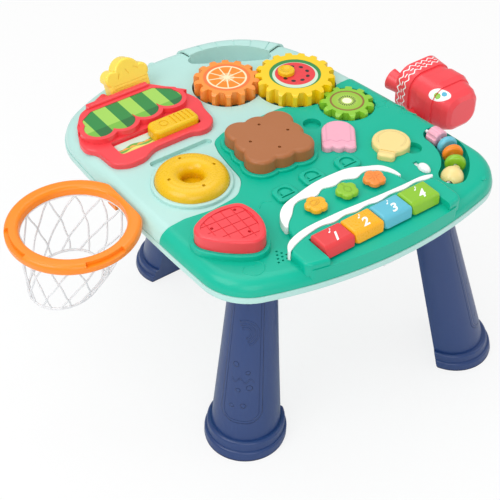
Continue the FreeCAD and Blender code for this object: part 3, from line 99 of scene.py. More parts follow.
# Places and targets in metres, in the frame
soft_lamp("window_left", (-1.3, -0.1, 1.5), (0.0, 0.0, 0.22), 1.3, 13.0)
soft_lamp("sky_panel", (0.2, 0.5, 2.0), (0.0, 0.0, 0.22), 1.8, 12.0)
soft_lamp("front_fill", (-0.9, -1.7, 1.1), (0.0, 0.0, 0.2), 1.3, 8.4)
soft_lamp("fill_right", (1.5, -1.0, 0.9), (0.0, 0.0, 0.2), 1.2, 3.7)

scene.view_settings.view_transform = "Standard"


def studio_world():
    """White surroundings, brighter where the camera sees them than as light on the object."""
    world = bpy.data.worlds.new("studio")
    scene.world = world
    world.use_nodes = True
    tree = world.node_tree
    tree.nodes.clear()
    light = tree.nodes.new("ShaderNodeBackground")
    light.inputs["Color"].default_value = (1.0, 1.0, 1.0, 1.0)
    light.inputs["Strength"].default_value = SKY_LIGHT
    backdrop = tree.nodes.new("ShaderNodeBackground")
    backdrop.inputs["Strength"].default_value = SKY_SEEN
    ray = tree.nodes.new("ShaderNodeLightPath")
    seen = tree.nodes.new("ShaderNodeMath")
    seen.operation = "MAXIMUM"
    pick = tree.nodes.new("ShaderNodeMixShader")
    out = tree.nodes.new("ShaderNodeOutputWorld")
    tree.links.new(ray.outputs["Is Camera Ray"], seen.inputs[0])
    tree.links.new(ray.outputs["Is Transmission Ray"], seen.inputs[1])
    tree.links.new(seen.outputs[0], pick.inputs[0])
    tree.links.new(light.outputs[0], pick.inputs[1])
    tree.links.new(backdrop.outputs[0], pick.inputs[2])
    tree.links.new(pick.outputs[0], out.inputs[0])


studio_world()


# Shader helpers

def linear(colour):
    """An sRGB colour from 0 to 255 as linear light."""
    c = np.array(colour, float) / 255.0
    return tuple(np.where(c <= 0.04045, c / 12.92, ((c + 0.055) / 1.055) ** 2.4)) + (1.0,)


class Tree:
    """Small helper that adds nodes to a tree and joins them up."""

    def __init__(self, tree):
        self.tree = tree

    def node(self, kind, **values):
        n = self.tree.nodes.new("ShaderNode" + kind)
        for key, value in values.items():
            setattr(n, key, value)
        return n

    def join(self, a, b):
        self.tree.links.new(a, b)

    def put(self, socket, value):
        if hasattr(value, "is_output"):
            self.join(value, socket)
        elif value is not None:
            socket.default_value = value

    def math(self, operation, a, b=None, c=None):
        n = self.node("Math", operation=operation)
        for i, v in enumerate((a, b, c)):
            if v is not None:
                self.put(n.inputs[i], v)
        return n.outputs[0]

    def mix(self, share, a, b):
        n = self.node("Mix", data_type="RGBA")
        self.put(n.inputs[0], share)
        self.put(n.inputs[6], a)
        self.put(n.inputs[7], b)
        return n.outputs[2]

    def noise(self, vector, scale, detail=2.0):
        n = self.node("TexNoise")
        self.put(n.inputs["Vector"], vector)
        n.inputs["Scale"].default_value = scale
        n.inputs["Detail"].default_value = detail
        return n.outputs["Fac"]

    def step(self, value, low, high):
        """0 below low, 1 above high, smooth between."""
        n = self.node("MapRange", interpolation_type="SMOOTHSTEP")
        self.put(n.inputs[0], value)
        n.inputs[1].default_value = low
        n.inputs[2].default_value = high
        return n.outputs[0]


def new_group(name, inputs, outputs):
    """An empty node group with named inputs and outputs."""
    g = bpy.data.node_groups.new(name, "ShaderNodeTree")
    for label, kind, value in inputs:
        s = g.interface.new_socket(label, in_out="INPUT", socket_type="NodeSocket" + kind)
        if value is not None:
            s.default_value = value
    for label, kind in outputs:
        g.interface.new_socket(label, in_out="OUTPUT", socket_type="NodeSocket" + kind)
    t = Tree(g)
    return g, t, g.nodes.new("NodeGroupInput"), g.nodes.new("NodeGroupOutput")


# How many clouds and patches of gloss there are in a metre, how uneven the gloss is, the depth of the peel
# in metres, and the roughness of the clear coat
CLOUD_SCALE = 11.0
GLOSS_SCALE = 420.0
GLOSS_UNEVEN = 0.10
PEEL_DEPTH = 0.0002
COAT_ROUGH = 0.12


def moulded_skin_group():
    """Moulded plastic: faint flow clouds in the colour, fine orange peel and slightly uneven gloss."""
    g, t, gi, go = new_group(
        "moulded_skin",
        (("Colour", "Color", (0.5, 0.5, 0.5, 1.0)), ("Cloud", "Float", 0.06), ("Gloss", "Float", 0.3),
         ("Peel", "Float", 0.05), ("Peel Scale", "Float", 900.0)),
        (("Colour", "Color"), ("Roughness", "Float"), ("Normal", "Vector")))
    place = t.node("TexCoord").outputs["Object"]
    cloud = t.noise(place, CLOUD_SCALE, 3.0)
    lighter = t.math("SUBTRACT", cloud, 0.5)
    paler = t.math("SUBTRACT", 0.5, cloud)
    warm = t.node("HueSaturation")
    t.put(warm.inputs["Color"], gi.outputs["Colour"])
    t.put(warm.inputs["Value"], t.math("MULTIPLY_ADD", lighter, gi.outputs["Cloud"], 1.0))
    t.put(warm.inputs["Saturation"], t.math("MULTIPLY_ADD", paler, gi.outputs["Cloud"], 1.0))
    t.join(warm.outputs[0], go.inputs["Colour"])
    uneven = t.math("SUBTRACT", t.noise(place, GLOSS_SCALE), 0.5)
    t.join(t.math("MULTIPLY_ADD", uneven, GLOSS_UNEVEN, gi.outputs["Gloss"]), go.inputs["Roughness"])
    grain = t.node("TexNoise")
    t.join(place, grain.inputs["Vector"])
    t.join(gi.outputs["Peel Scale"], grain.inputs["Scale"])
    bump = t.node("Bump")
    bump.inputs["Distance"].default_value = PEEL_DEPTH
    t.join(gi.outputs["Peel"], bump.inputs["Strength"])
    t.join(grain.outputs["Fac"], bump.inputs["Height"])
    t.join(bump.outputs[0], go.inputs["Normal"])
    return g


SKIN = moulded_skin_group()


def plastic(name, colour, gloss=0.28, coat=0.25, cloud=0.07, peel=0.12, peel_scale=900.0, paint=None,
            relief=None, depth=0.0008, shine=0.5):
    """A moulded plastic.

    Paint returns the colour socket of a print, and relief the height of raised lines from 0 to 1, which
    depth makes a height in metres.
    """
    m = bpy.data.materials.new(name)
    m.use_nodes = True
    t = Tree(m.node_tree)
    shader = m.node_tree.nodes["Principled BSDF"]
    skin = t.node("Group")
    skin.node_tree = SKIN
    skin.inputs["Cloud"].default_value = cloud
    skin.inputs["Gloss"].default_value = gloss
    skin.inputs["Peel"].default_value = peel
    skin.inputs["Peel Scale"].default_value = peel_scale
    if paint:
        t.join(paint(t), skin.inputs["Colour"])
    else:
        skin.inputs["Colour"].default_value = linear(colour)
    t.join(skin.outputs["Colour"], shader.inputs["Base Color"])
    t.join(skin.outputs["Roughness"], shader.inputs["Roughness"])
    if relief:
        raised = t.node("Bump")
        raised.inputs["Distance"].default_value = depth
        t.join(relief(t), raised.inputs["Height"])
        t.join(skin.outputs["Normal"], raised.inputs["Normal"])
        t.join(raised.outputs[0], shader.inputs["Normal"])
    else:
        t.join(skin.outputs["Normal"], shader.inputs["Normal"])
    shader.inputs["Specular IOR Level"].default_value = shine
    shader.inputs["Coat Weight"].default_value = coat
    shader.inputs["Coat Roughness"].default_value = COAT_ROUGH
    m.diffuse_color = linear(colour)
    return m


def dress(piece, material):
    """The piece takes this one material."""
    piece.data.materials.clear()
    piece.data.materials.append(material)


# Patterns are drawn in millimetres, measured from a point of the panel

def panel_place(t, centre=(0.0, 0.0), turn=0.0):
    """Distances along and across a direction from a point of the panel, and the height, in millimetres."""
    split = t.node("SeparateXYZ")
    t.join(t.node("TexCoord").outputs["Object"], split.inputs[0])
    x = t.math("MULTIPLY_ADD", split.outputs[0], 1000.0, float(-MIDDLE[0] - centre[0]))
    y = t.math("MULTIPLY_ADD", split.outputs[1], 1000.0, float(-MIDDLE[1] - centre[1]))
    z = t.math("MULTIPLY", split.outputs[2], 1000.0)
    c, d = math.cos(math.radians(turn)), math.sin(math.radians(turn))
    along = t.math("MULTIPLY_ADD", x, c, t.math("MULTIPLY", y, d))
    across = t.math("MULTIPLY_ADD", y, c, t.math("MULTIPLY", x, -d))
    return along, across, z


def far(t, u, v):
    """Length of the step (u, v)."""
    return t.math("SQRT", t.math("MULTIPLY_ADD", u, u, t.math("MULTIPLY", v, v)))


def turns(t, y, x):
    """Angle of the step (x, y), in turns."""
    return t.math("DIVIDE", t.math("ARCTAN2", y, x), 2 * math.pi)


def nearest_spoke(t, turn, count, phase=0.0):
    """Distance from the nearest of evenly spread spokes, from 0 to half a step."""
    share = t.math("FRACT", t.math("MULTIPLY_ADD", turn, float(count), phase + 10.0))
    return t.math("MINIMUM", share, t.math("SUBTRACT", 1.0, share))


def shifted(t, u, by):
    """A distance counted from another start."""
    return t.math("SUBTRACT", u, float(by))


def both(t, *masks):
    """Where every mask is 1."""
    out = masks[0]
    for m in masks[1:]:
        out = t.math("MULTIPLY", out, m)
    return out


def either(t, *masks):
    """Where any mask is 1."""
    out = masks[0]
    for m in masks[1:]:
        out = t.math("MAXIMUM", out, m)
    return out


def below(t, value, edge, soft=0.3):
    """1 under an edge and 0 over it, with a soft step between."""
    return t.math("SUBTRACT", 1.0, t.step(value, edge - soft / 2, edge + soft / 2))


def line_at(t, value, width, soft=0.4):
    """A stripe where a distance is nearly nought."""
    return below(t, t.math("ABSOLUTE", value), width / 2, soft)


def rounded_edge(t, u, v, half_u, half_v, corner):
    """Signed distance from the edge of a rectangle with round corners."""
    qu = t.math("SUBTRACT", t.math("ABSOLUTE", u), half_u - corner)
    qv = t.math("SUBTRACT", t.math("ABSOLUTE", v), half_v - corner)
    outside = far(t, t.math("MAXIMUM", qu, 0.0), t.math("MAXIMUM", qv, 0.0))
    inside = t.math("MINIMUM", t.math("MAXIMUM", qu, qv), 0.0)
    return shifted(t, t.math("ADD", outside, inside), corner)


# Each leg's foot on the floor, in millimetres from the middle of the panel, and the way it leans, in degrees
LEGS = {
    "left": ((-137.0, -151.0), -138.0),
    "right": ((146.0, -189.0), -40.0),
    "rear": ((-49.0, 136.0), 90.0),
}
# How far a leg leans in over its height, its half width at the foot and how that narrows with height
LEG_LEAN = 50.0 / 215.7
LEG_HALF_FOOT = 27.0
LEG_HALF_SHRINK = -0.052
# Middle height of the raised frame, its half width, half height and corner radius, the height of the wavy
# line, the arcs' centre height and radii, and the dots as across, height and radius
LEG_MIDDLE = 122.0
LEG_FRAME = (17.5, 78.0, 12.0)
CURL_HEIGHT = 94.0
ARC_HEIGHT = 150.0
ARC_RADII = (6.0, 10.0, 14.0)
LEG_DOTS = ((-8.0, 112.0, 3.0), (5.0, 104.0, 2.2), (-4.0, 82.0, 2.2), (7.0, 86.0, 3.0), (2.0, 64.0, 2.6),
            (-9.0, 62.0, 2.0), (0.0, 184.0, 2.4))


def leg_relief(foot, way):
    """Raised frame down the round side of a leg, with arcs, dots and a wavy line inside it.

    The distance across is scaled so that the leg is 20 wide to each side at every height. The wavy line is
    height = middle - 2.2 * sine of 0.62 * across.
    """
    def relief(t):
        out, side, z = panel_place(t, foot, way)
        out = t.math("MULTIPLY_ADD", z, LEG_LEAN, out)
        front = t.step(out, 2.0, 6.0)
        half = t.math("MULTIPLY_ADD", z, LEG_HALF_SHRINK, LEG_HALF_FOOT)
        u = t.math("DIVIDE", side, t.math("DIVIDE", half, 20.0))
        border = rounded_edge(t, u, shifted(t, z, LEG_MIDDLE), *LEG_FRAME)
        frame_line = line_at(t, border, 2.8, 0.8)
        up = shifted(t, z, ARC_HEIGHT)
        r = far(t, u, up)
        rings = either(t, *[line_at(t, shifted(t, r, radius), 2.0) for radius in ARC_RADII])
        upper_half = t.step(t.math("ADD", u, t.math("MULTIPLY", up, 0.5)), -2.0, -1.0)
        arcs = both(t, rings, upper_half)
        dots = [below(t, far(t, shifted(t, u, a), shifted(t, z, b)), c, 0.8) for a, b, c in LEG_DOTS]
        swell = t.math("SINE", t.math("MULTIPLY", u, 0.62))
        wave = t.math("MULTIPLY_ADD", swell, 2.2, shifted(t, z, CURL_HEIGHT))
        curl = both(t, line_at(t, wave, 2.0), below(t, t.math("ABSOLUTE", u), 11.0))
        return both(t, front, either(t, frame_line, arcs, curl, *dots))
    return relief


# Plastics, colours as they would be picked on a screen, 0 to 255
NAVY_BLUE = (28, 58, 112)
ICE_PINK = (241, 172, 192)
LEAF_GREEN = (140, 196, 40)
CUP_RED = (244, 66, 75)

TEAL = plastic("teal_plastic", (8, 181, 151), 0.32, coat=0.05, shine=0.3)
MINT = plastic("mint_plastic", (180, 222, 215), 0.34, coat=0.15, peel=0.16)
CORAL = plastic("coral_plastic", (236, 64, 72), 0.33, coat=0.15)
KEY_RED = plastic("key_red_plastic", (228, 58, 62), 0.30)
YELLOW = plastic("yellow_plastic", (233, 186, 16), 0.28, coat=0.08, shine=0.4)
ROOF = plastic("roof_plastic", (252, 222, 84), 0.3, coat=0.1)
AMBER = plastic("amber_plastic", (253, 178, 26), 0.28, coat=0.15)
BROWN = plastic("biscuit_plastic", (170, 103, 56), 0.42, coat=0.05, peel=0.4, peel_scale=500.0)
PINK = plastic("pink_plastic", ICE_PINK, 0.32)
CREAM = plastic("cream_plastic", (246, 220, 146), 0.32)
WHITE = plastic("white_plastic", (249, 249, 250), 0.26, coat=0.3)
BLUE = plastic("blue_plastic", (96, 190, 212), 0.30)
LIME = plastic("lime_plastic", LEAF_GREEN, 0.30)
ORANGE = plastic("orange_plastic", (252, 138, 20), 0.34, coat=0.05)
WHEEL_ORANGE = plastic("wheel_orange_plastic", (247, 148, 58), 0.30, coat=0.15)
WHEEL_YELLOW = plastic("wheel_yellow_plastic", (248, 206, 18), 0.30, coat=0.15)
WHEEL_GREEN = plastic("wheel_green_plastic", (140, 202, 50), 0.30)
INNER = plastic("inner_plastic", (214, 216, 218), 0.45, coat=0.0)
RUBBER = plastic("tread_rubber", (22, 32, 70), 0.62, coat=0.0, peel=0.5, peel_scale=300.0)
DOME = plastic("dome_rubber", (196, 198, 204), 0.6, coat=0.0)
DARK = plastic("speaker_black", (26, 26, 28), 0.5, coat=0.0)
BOARD = plastic("board_green", (18, 92, 44), 0.4, coat=0.1)
LEG_LEFT, LEG_RIGHT, LEG_REAR = (
    plastic("leg_%s_plastic" % side, NAVY_BLUE, 0.36, coat=0.12, cloud=0.10,
            relief=leg_relief(foot, way), depth=0.0016)
    for side, (foot, way) in LEGS.items())

# Middles of the lolly and mushroom blocks and the ways they point, and of the three fruit buttons
LOLLY_PLACE = ((65.0, -50.0), 53.0)
MUSHROOM_PLACE = ((105.5, -92.5), 217.0)
# Place of the lolly's wavy line along it, distance of its grooves from the middle, radius of the mushroom's
# rim, and place of the ring under its cap
LOLLY_LINE = -12.5
LOLLY_GROOVE = 13.5
MUSHROOM_RIM = 15.5
MUSHROOM_RING = 25.0
LEMON_SPOT = (-37.0, -138.0)
APPLE_SPOT = (3.5, -138.5)
TANGERINE_SPOT = (39.5, -140.0)


def lolly_edge(t):
    """Distances along and across the lolly, and from the wavy line near its lower end.

    The line is along = its place - 1.3 * sine of half the distance across.
    """
    along, across, _ = panel_place(t, *LOLLY_PLACE)
    wave = t.math("SINE", t.math("MULTIPLY", across, 0.50))
    return along, across, t.math("MULTIPLY_ADD", wave, 1.3, shifted(t, along, LOLLY_LINE))


def lolly_print(t):
    """Pink ice with a darker wavy line across its lower end."""
    _, _, edge = lolly_edge(t)
    line = line_at(t, edge, 1.0, 0.6)
    return t.mix(t.math("MULTIPLY", line, 0.75), linear(ICE_PINK), linear((222, 134, 166)))


def lolly_relief(t):
    """The ice stands a little above the wavy line, with a faint groove along each side."""
    along, across, edge = lolly_edge(t)
    beside = line_at(t, shifted(t, t.math("ABSOLUTE", across), LOLLY_GROOVE), 1.0)
    groove = both(t, beside, t.step(along, -12.0, -11.0))
    return t.math("SUBTRACT", t.step(edge, -0.6, 0.6), t.math("MULTIPLY", groove, 0.5))


def mushroom_relief(t):
    """A rim round the cap, set back a little, and a ring under it."""
    along, across, _ = panel_place(t, *MUSHROOM_PLACE)
    r = far(t, along, across)
    rim = line_at(t, shifted(t, r, MUSHROOM_RIM), 1.6, 0.8)
    ring = both(t, line_at(t, shifted(t, along, MUSHROOM_RING), 1.4), t.step(along, 20.0, 21.0))
    return either(t, both(t, rim, below(t, along, 9.0)), ring)


def lemon_relief(t):
    """An oval leaf line and a slanted line through it."""
    x, y, _ = panel_place(t, LEMON_SPOT)
    oval = far(t, t.math("MULTIPLY", shifted(t, x, -1.5), 0.7), shifted(t, y, 1.0))
    leaf = line_at(t, shifted(t, oval, 3.6), 1.1)
    slant = line_at(t, t.math("SUBTRACT", y, t.math("MULTIPLY", x, 0.5)), 1.0)
    return either(t, leaf, both(t, slant, below(t, far(t, x, y), 6.5)))


def apple_relief(t):
    """A tall oval line and a short stem above it."""
    x, y, _ = panel_place(t, APPLE_SPOT)
    oval = far(t, t.math("MULTIPLY", x, 1.3), shifted(t, y, -1.0))
    skin = line_at(t, shifted(t, oval, 4.6), 1.1)
    stem = both(t, line_at(t, x, 1.1), t.step(y, 3.0, 3.6))
    return either(t, skin, stem)


def tangerine_relief(t):
    """Eight lines from the middle outwards."""
    x, y, _ = panel_place(t, TANGERINE_SPOT)
    r = far(t, x, y)
    rib = t.math("MULTIPLY", nearest_spoke(t, turns(t, y, x), 8), r)
    return both(t, below(t, t.math("MULTIPLY", rib, 0.78), 0.55), below(t, r, 7.4))


LOLLY = plastic("lolly_pink_plastic", ICE_PINK, 0.32, paint=lolly_print, relief=lolly_relief, depth=0.0007)
MUSHROOM = plastic("mushroom_cream_plastic", (245, 219, 144), 0.32, relief=mushroom_relief, depth=0.0005)
LEMON = plastic("lemon_button_plastic", (247, 178, 24), 0.28, relief=lemon_relief)
APPLE = plastic("apple_button_plastic", LEAF_GREEN, 0.30, relief=apple_relief)
TANGERINE = plastic("tangerine_button_plastic", (253, 142, 52), 0.30, relief=tangerine_relief)

# The cup lies along y: its axis as x and height, and the y of its mouth
CUP_AXIS = (218.0, 255.0)
CUP_BACK = -10.0
# Length of the print once round the cup and the number of its waves, then the places of the two waves and
# of the dashes, along y from the mouth
CUP_ROUND = 200.0
CUP_WAVES = 22
WAVE_LINES = (-4.6, -13.4)
DASH_LINE = -9.0
# Middle of the oval, along y from the mouth and round the cup, and its half height
OVAL_PLACE = (-61.0, 74.0)
OVAL_HALF = 7.6


def cup_print(t):
    """Two white waves with dashes between them round the mouth, and a plain oval with two dots.

    Only faces that look away from the cup's axis are printed, so its inside stays plain.
    """
    x, y, z = panel_place(t, (CUP_AXIS[0], CUP_BACK))
    z = shifted(t, z, CUP_AXIS[1])
    turn = turns(t, z, x)
    run = t.math("MULTIPLY", turn, CUP_ROUND)
    swell = t.math("SINE", t.math("MULTIPLY", run, 2 * math.pi / CUP_ROUND * CUP_WAVES))
    wave = t.math("MULTIPLY", swell, 1.5)
    lines = [line_at(t, t.math("SUBTRACT", shifted(t, y, down), wave), 1.5) for down in WAVE_LINES]
    share = t.math("FRACT", t.math("MULTIPLY_ADD", turn, float(CUP_WAVES), 10.0))
    dash_share = below(t, t.math("ABSOLUTE", shifted(t, share, 0.5)), 0.26, 0.06)
    dash = both(t, line_at(t, shifted(t, y, DASH_LINE), 1.3), dash_share)
    part = t.node("SeparateXYZ")
    t.join(t.node("NewGeometry").outputs["Normal"], part.inputs[0])
    outward = t.math("MULTIPLY_ADD", part.outputs[0], x, t.math("MULTIPLY", part.outputs[2], z))
    outside = t.step(outward, 6.0, 8.0)

    def printed(mask, under, colour):
        return t.mix(both(t, mask, outside), under, linear(colour))

    colour = printed(either(t, *lines, dash), linear(CUP_RED), (252, 250, 248))
    u = shifted(t, y, OVAL_PLACE[0])
    v = shifted(t, run, OVAL_PLACE[1])
    long_way = t.math("MULTIPLY_ADD", u, 0.8, t.math("MULTIPLY", v, 0.6))
    short_way = t.math("MULTIPLY_ADD", v, 0.8, t.math("MULTIPLY", u, -0.6))
    oval = far(t, t.math("MULTIPLY", long_way, 0.62), short_way)
    colour = printed(below(t, oval, OVAL_HALF), colour, (250, 250, 250))
    green = far(t, shifted(t, long_way, 3.2), shifted(t, short_way, 1.0))
    colour = printed(below(t, green, 3.6), colour, (140, 200, 60))
    blue = far(t, shifted(t, long_way, -4.6), shifted(t, short_way, -1.4))
    return printed(below(t, blue, 3.2), colour, (70, 176, 208))


CUP = plastic("cup_coral_plastic", CUP_RED, 0.33, paint=cup_print)


def metal(name, colour, rough):
    """A bare metal with a fine grain."""
    m = plastic(name, colour, rough, coat=0.0, cloud=0.03, peel=0.2, peel_scale=1500.0)
    m.node_tree.nodes["Principled BSDF"].inputs["Metallic"].default_value = 1.0
    return m


STEEL = metal("screw_steel", (176, 178, 182), 0.32)
NICKEL = metal("contact_nickel", (206, 206, 204), 0.25)
CELL = plastic("cell_sleeve", (52, 118, 80), 0.3, coat=0.4)

FINISHES = {
    "base_tray": MINT, "deck_green": TEAL, "deck_mint": MINT, "handle_grip": MINT,
    "leg_sockets": MINT, "leg_front_left": LEG_LEFT, "leg_front_right": LEG_RIGHT, "leg_rear": LEG_REAR,
    "foot_front_left": RUBBER, "foot_front_right": RUBBER, "foot_rear": RUBBER,
    "leg_screws": STEEL, "panel_screws": STEEL, "door_screw": STEEL, "contact_plates": NICKEL,
    "gear_orange": WHEEL_ORANGE, "gear_melon": WHEEL_YELLOW, "gear_kiwi": WHEEL_GREEN,
    "melon_knob": YELLOW, "gear_posts": INNER, "battery_box": INNER, "battery_door": MINT,
    "block_donut": YELLOW, "block_biscuit": BROWN, "block_strawberry": CORAL, "block_lolly": LOLLY,
    "block_mushroom": MUSHROOM, "shop_frame": CORAL, "shop_slider": YELLOW, "roof_sign": ROOF,
    "key_red": KEY_RED, "key_yellow": AMBER, "key_blue": BLUE, "key_green": LIME,
    "button_yellow": LEMON, "button_green": APPLE, "button_orange": TANGERINE,
    "key_domes": DOME, "button_domes": DOME, "circuit_board": BOARD, "trim_upper": WHITE,
    "trim_lower": WHITE, "power_switch": WHITE, "speaker": DARK, "battery_cells": CELL,
    "bead_rod": WHITE, "bead_pink": PINK, "bead_blue": BLUE, "bead_orange": ORANGE, "bead_green": LIME,
    "bead_cream": CREAM, "hoop_ring": ORANGE, "storage_cup": CUP, "release_tab": WHITE,
}
for name, material in FINISHES.items():
    dress(nodes[name], material)


# Printed labels

RIND = (255, 232, 190)
# Radii in millimetres where the orange's pulp and rind end, where the melon's flesh and pale ring end and its
# seeds stand, and where the kiwi's heart and flesh end and its seeds stand
ORANGE_PULP = 21.4
ORANGE_RIND = 23.6
MELON_SEEDS = 15.6
MELON_FLESH = 23.6
MELON_PALE = 26.6
KIWI_HEART = 5.2
KIWI_SEEDS = 8.8
KIWI_FLESH = 17.6


def label_place(t, label):
    """Distances from the middle of a round label, and the radius and angle in turns there."""
    lo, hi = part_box(label)
    centre = ((lo.x + hi.x) / 2 * 1000 - MIDDLE[0], (lo.y + hi.y) / 2 * 1000 - MIDDLE[1])
    x, y, _ = panel_place(t, centre)
    return x, y, far(t, x, y), turns(t, y, x)


def from_spoke(t, turn, r, count, phase=0.0):
    """Distance in millimetres round to the nearest of evenly spread spokes."""
    steps = t.math("MULTIPLY", nearest_spoke(t, turn, count, phase), r)
    return t.math("MULTIPLY", steps, 2 * math.pi / count)


def mottled(t, scale, dark, light):
    """A colour that drifts between two."""
    return t.mix(t.noise(t.node("TexCoord").outputs["Object"], scale), linear(dark), linear(light))


def orange_slice(t):
    """Orange rim and pale rind, nine segments between pale ribs, and short pale strokes near the heart."""
    _, _, r, turn = label_place(t, "label_orange")
    pulp = mottled(t, 260.0, (255, 124, 0), (255, 148, 14))
    colour = t.mix(t.step(from_spoke(t, turn, r, 9), 0.55, 0.95), linear(RIND), pulp)
    stroke = t.math("SUBTRACT", 1.0, t.step(from_spoke(t, turn, r, 27, 0.5), 0.25, 0.45))
    heart = t.math("SUBTRACT", 1.0, t.step(r, 8.5, 9.5))
    colour = t.mix(both(t, stroke, heart), colour, linear(RIND))
    colour = t.mix(t.step(r, ORANGE_PULP, ORANGE_PULP + 0.5), colour, linear(RIND))
    return t.mix(t.step(r, ORANGE_RIND, ORANGE_RIND + 0.5), colour, linear((244, 118, 48)))


def melon_slice(t):
    """Red flesh with nine dark seeds, a pale ring and a dark green rind set off to one side."""
    x, y, r, turn = label_place(t, "label_melon")
    flesh = mottled(t, 300.0, (222, 40, 52), (238, 62, 66))
    near = t.math("MULTIPLY", shifted(t, r, MELON_SEEDS), 0.44)
    side = t.math("MULTIPLY", from_spoke(t, turn, r, 9, 0.35), 0.36)
    seed = t.math("ADD", t.math("MULTIPLY", near, near), t.math("MULTIPLY", side, side))
    colour = t.mix(t.step(seed, 0.85, 1.15), linear((34, 12, 16)), flesh)
    colour = t.mix(t.step(r, MELON_FLESH, MELON_FLESH + 0.4), colour, linear((206, 230, 206)))
    off = t.math("ADD", r, t.math("MULTIPLY_ADD", x, 0.06, t.math("MULTIPLY", y, 0.085)))
    return t.mix(t.step(off, MELON_PALE, MELON_PALE + 0.4), colour, linear((34, 138, 62)))


def kiwi_slice(t):
    """Brown skin ring, green flesh, a ring of dark seeds and a cream heart."""
    _, _, r, turn = label_place(t, "label_kiwi")
    flesh = t.mix(t.step(r, 5.0, 15.0), linear((186, 214, 96)), linear((150, 196, 52)))
    near = t.math("MULTIPLY", t.math("ABSOLUTE", shifted(t, r, KIWI_SEEDS)), 0.34)
    side = from_spoke(t, turn, r, 22)
    seed = t.math("ADD", t.math("MULTIPLY", near, near), t.math("MULTIPLY", side, side))
    colour = t.mix(t.step(seed, 0.30, 0.52), linear((28, 30, 14)), flesh)
    colour = t.mix(t.step(r, KIWI_HEART, KIWI_HEART + 0.6), linear((250, 246, 214)), colour)
    return t.mix(t.step(r, KIWI_FLESH, KIWI_FLESH + 0.4), colour, linear((146, 104, 44)))


def label_plastic(name, colour, paint):
    """A smooth printed sticker."""
    return plastic(name, colour, 0.32, coat=0.3, cloud=0.0, paint=paint)


LABELS = {
    "label_orange": label_plastic("orange_slice_print", (255, 150, 40), orange_slice),
    "label_melon": label_plastic("melon_slice_print", (226, 50, 56), melon_slice),
    "label_kiwi": label_plastic("kiwi_slice_print", (150, 196, 52), kiwi_slice),
}
for name, material in LABELS.items():
    dress(nodes[name], material)


# In millimetres from the middle of the panel: width of a dark and a light stripe of the awning together,
# left edge of the first, and place of the fold; then the picture's sky line, the foot of its meadow, and the
# foot and crowns of its shrubs
STRIPE_PAIR = 33.0
FIRST_STRIPE = -154.5
AWNING_FOLD = 108.0
SKY_LINE = 74.4
MEADOW_FOOT = 68.6
SHRUB_FOOT = 70.5
SHRUB_CROWN = 71.2


def awning_stripes(t):
    """Dark and light green stripes across the cloth, each with painted shade that makes it darker below the
    fold.
    """
    x, y, _ = panel_place(t)
    count = t.math("DIVIDE", shifted(t, x, FIRST_STRIPE - 10 * STRIPE_PAIR), STRIPE_PAIR)
    light = t.step(t.math("FRACT", count), 0.495, 0.505)
    # Painted shade: below the fold both stripe colours are darker copies of those above it.
    above = t.step(y, AWNING_FOLD, AWNING_FOLD + 0.4)
    leaf = t.mix(above, linear((118, 184, 60)), linear((158, 208, 86)))
    dark = t.mix(above, linear((20, 108, 48)), linear((34, 134, 60)))
    return t.mix(light, dark, leaf)


def window_picture(t):
    """Plain bands like a meadow under a pale sky with round shrubs.

    The edges of the meadow are sine waves 1.6 high, and the crowns are the absolute value of one 2.4 high.
    """
    x, y, _ = panel_place(t)
    hill = t.math("MULTIPLY_ADD", t.math("SINE", t.math("MULTIPLY", x, 0.21)), 1.6, y)
    colour = t.mix(t.step(hill, SKY_LINE, SKY_LINE + 0.5), linear((112, 178, 70)), linear((206, 232, 214)))
    colour = t.mix(t.step(hill, MEADOW_FOOT, MEADOW_FOOT + 0.4), linear((232, 226, 110)), colour)
    crowns = t.math("ABSOLUTE", t.math("SINE", t.math("MULTIPLY", x, 0.33)))
    shrub = t.math("SUBTRACT", y, t.math("MULTIPLY", crowns, 2.4))
    over_foot = t.step(y, SHRUB_FOOT, SHRUB_FOOT + 0.3)
    under_crown = t.math("SUBTRACT", 1.0, t.step(shrub, SHRUB_CROWN, SHRUB_CROWN + 0.3))
    return t.mix(both(t, over_foot, under_crown), colour, linear((240, 170, 70)))


AWNING = plastic("awning_print_with_painted_shade", (40, 140, 60), 0.36, coat=0.2, cloud=0.0, paint=awning_stripes)
PICTURE = plastic("picture_print", (150, 200, 100), 0.25, coat=0.5, cloud=0.0, paint=window_picture)
dress(nodes["awning_panel"], AWNING)
dress(nodes["picture_strip"], PICTURE)


# New surfaces

def show(piece, material, body):
    """Puts a new piece in the picture, with its material and the body that it rides on."""
    scene.collection.objects.link(piece)
    dress(piece, material)
    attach(piece, body)
    return piece


def tube_quads(rings, sides, closed):
    """Quads between neighbouring rings of points, and from the last ring to the first if closed."""
    r = np.arange(rings if closed else rings - 1)
    a, b = np.meshgrid(r, np.arange(sides), indexing="ij")
    a2, b2 = (a + 1) % rings, (b + 1) % sides
    quads = np.stack([a * sides + b, a2 * sides + b, a2 * sides + b2, a * sides + b2], -1)
    return quads.reshape(-1, 4)


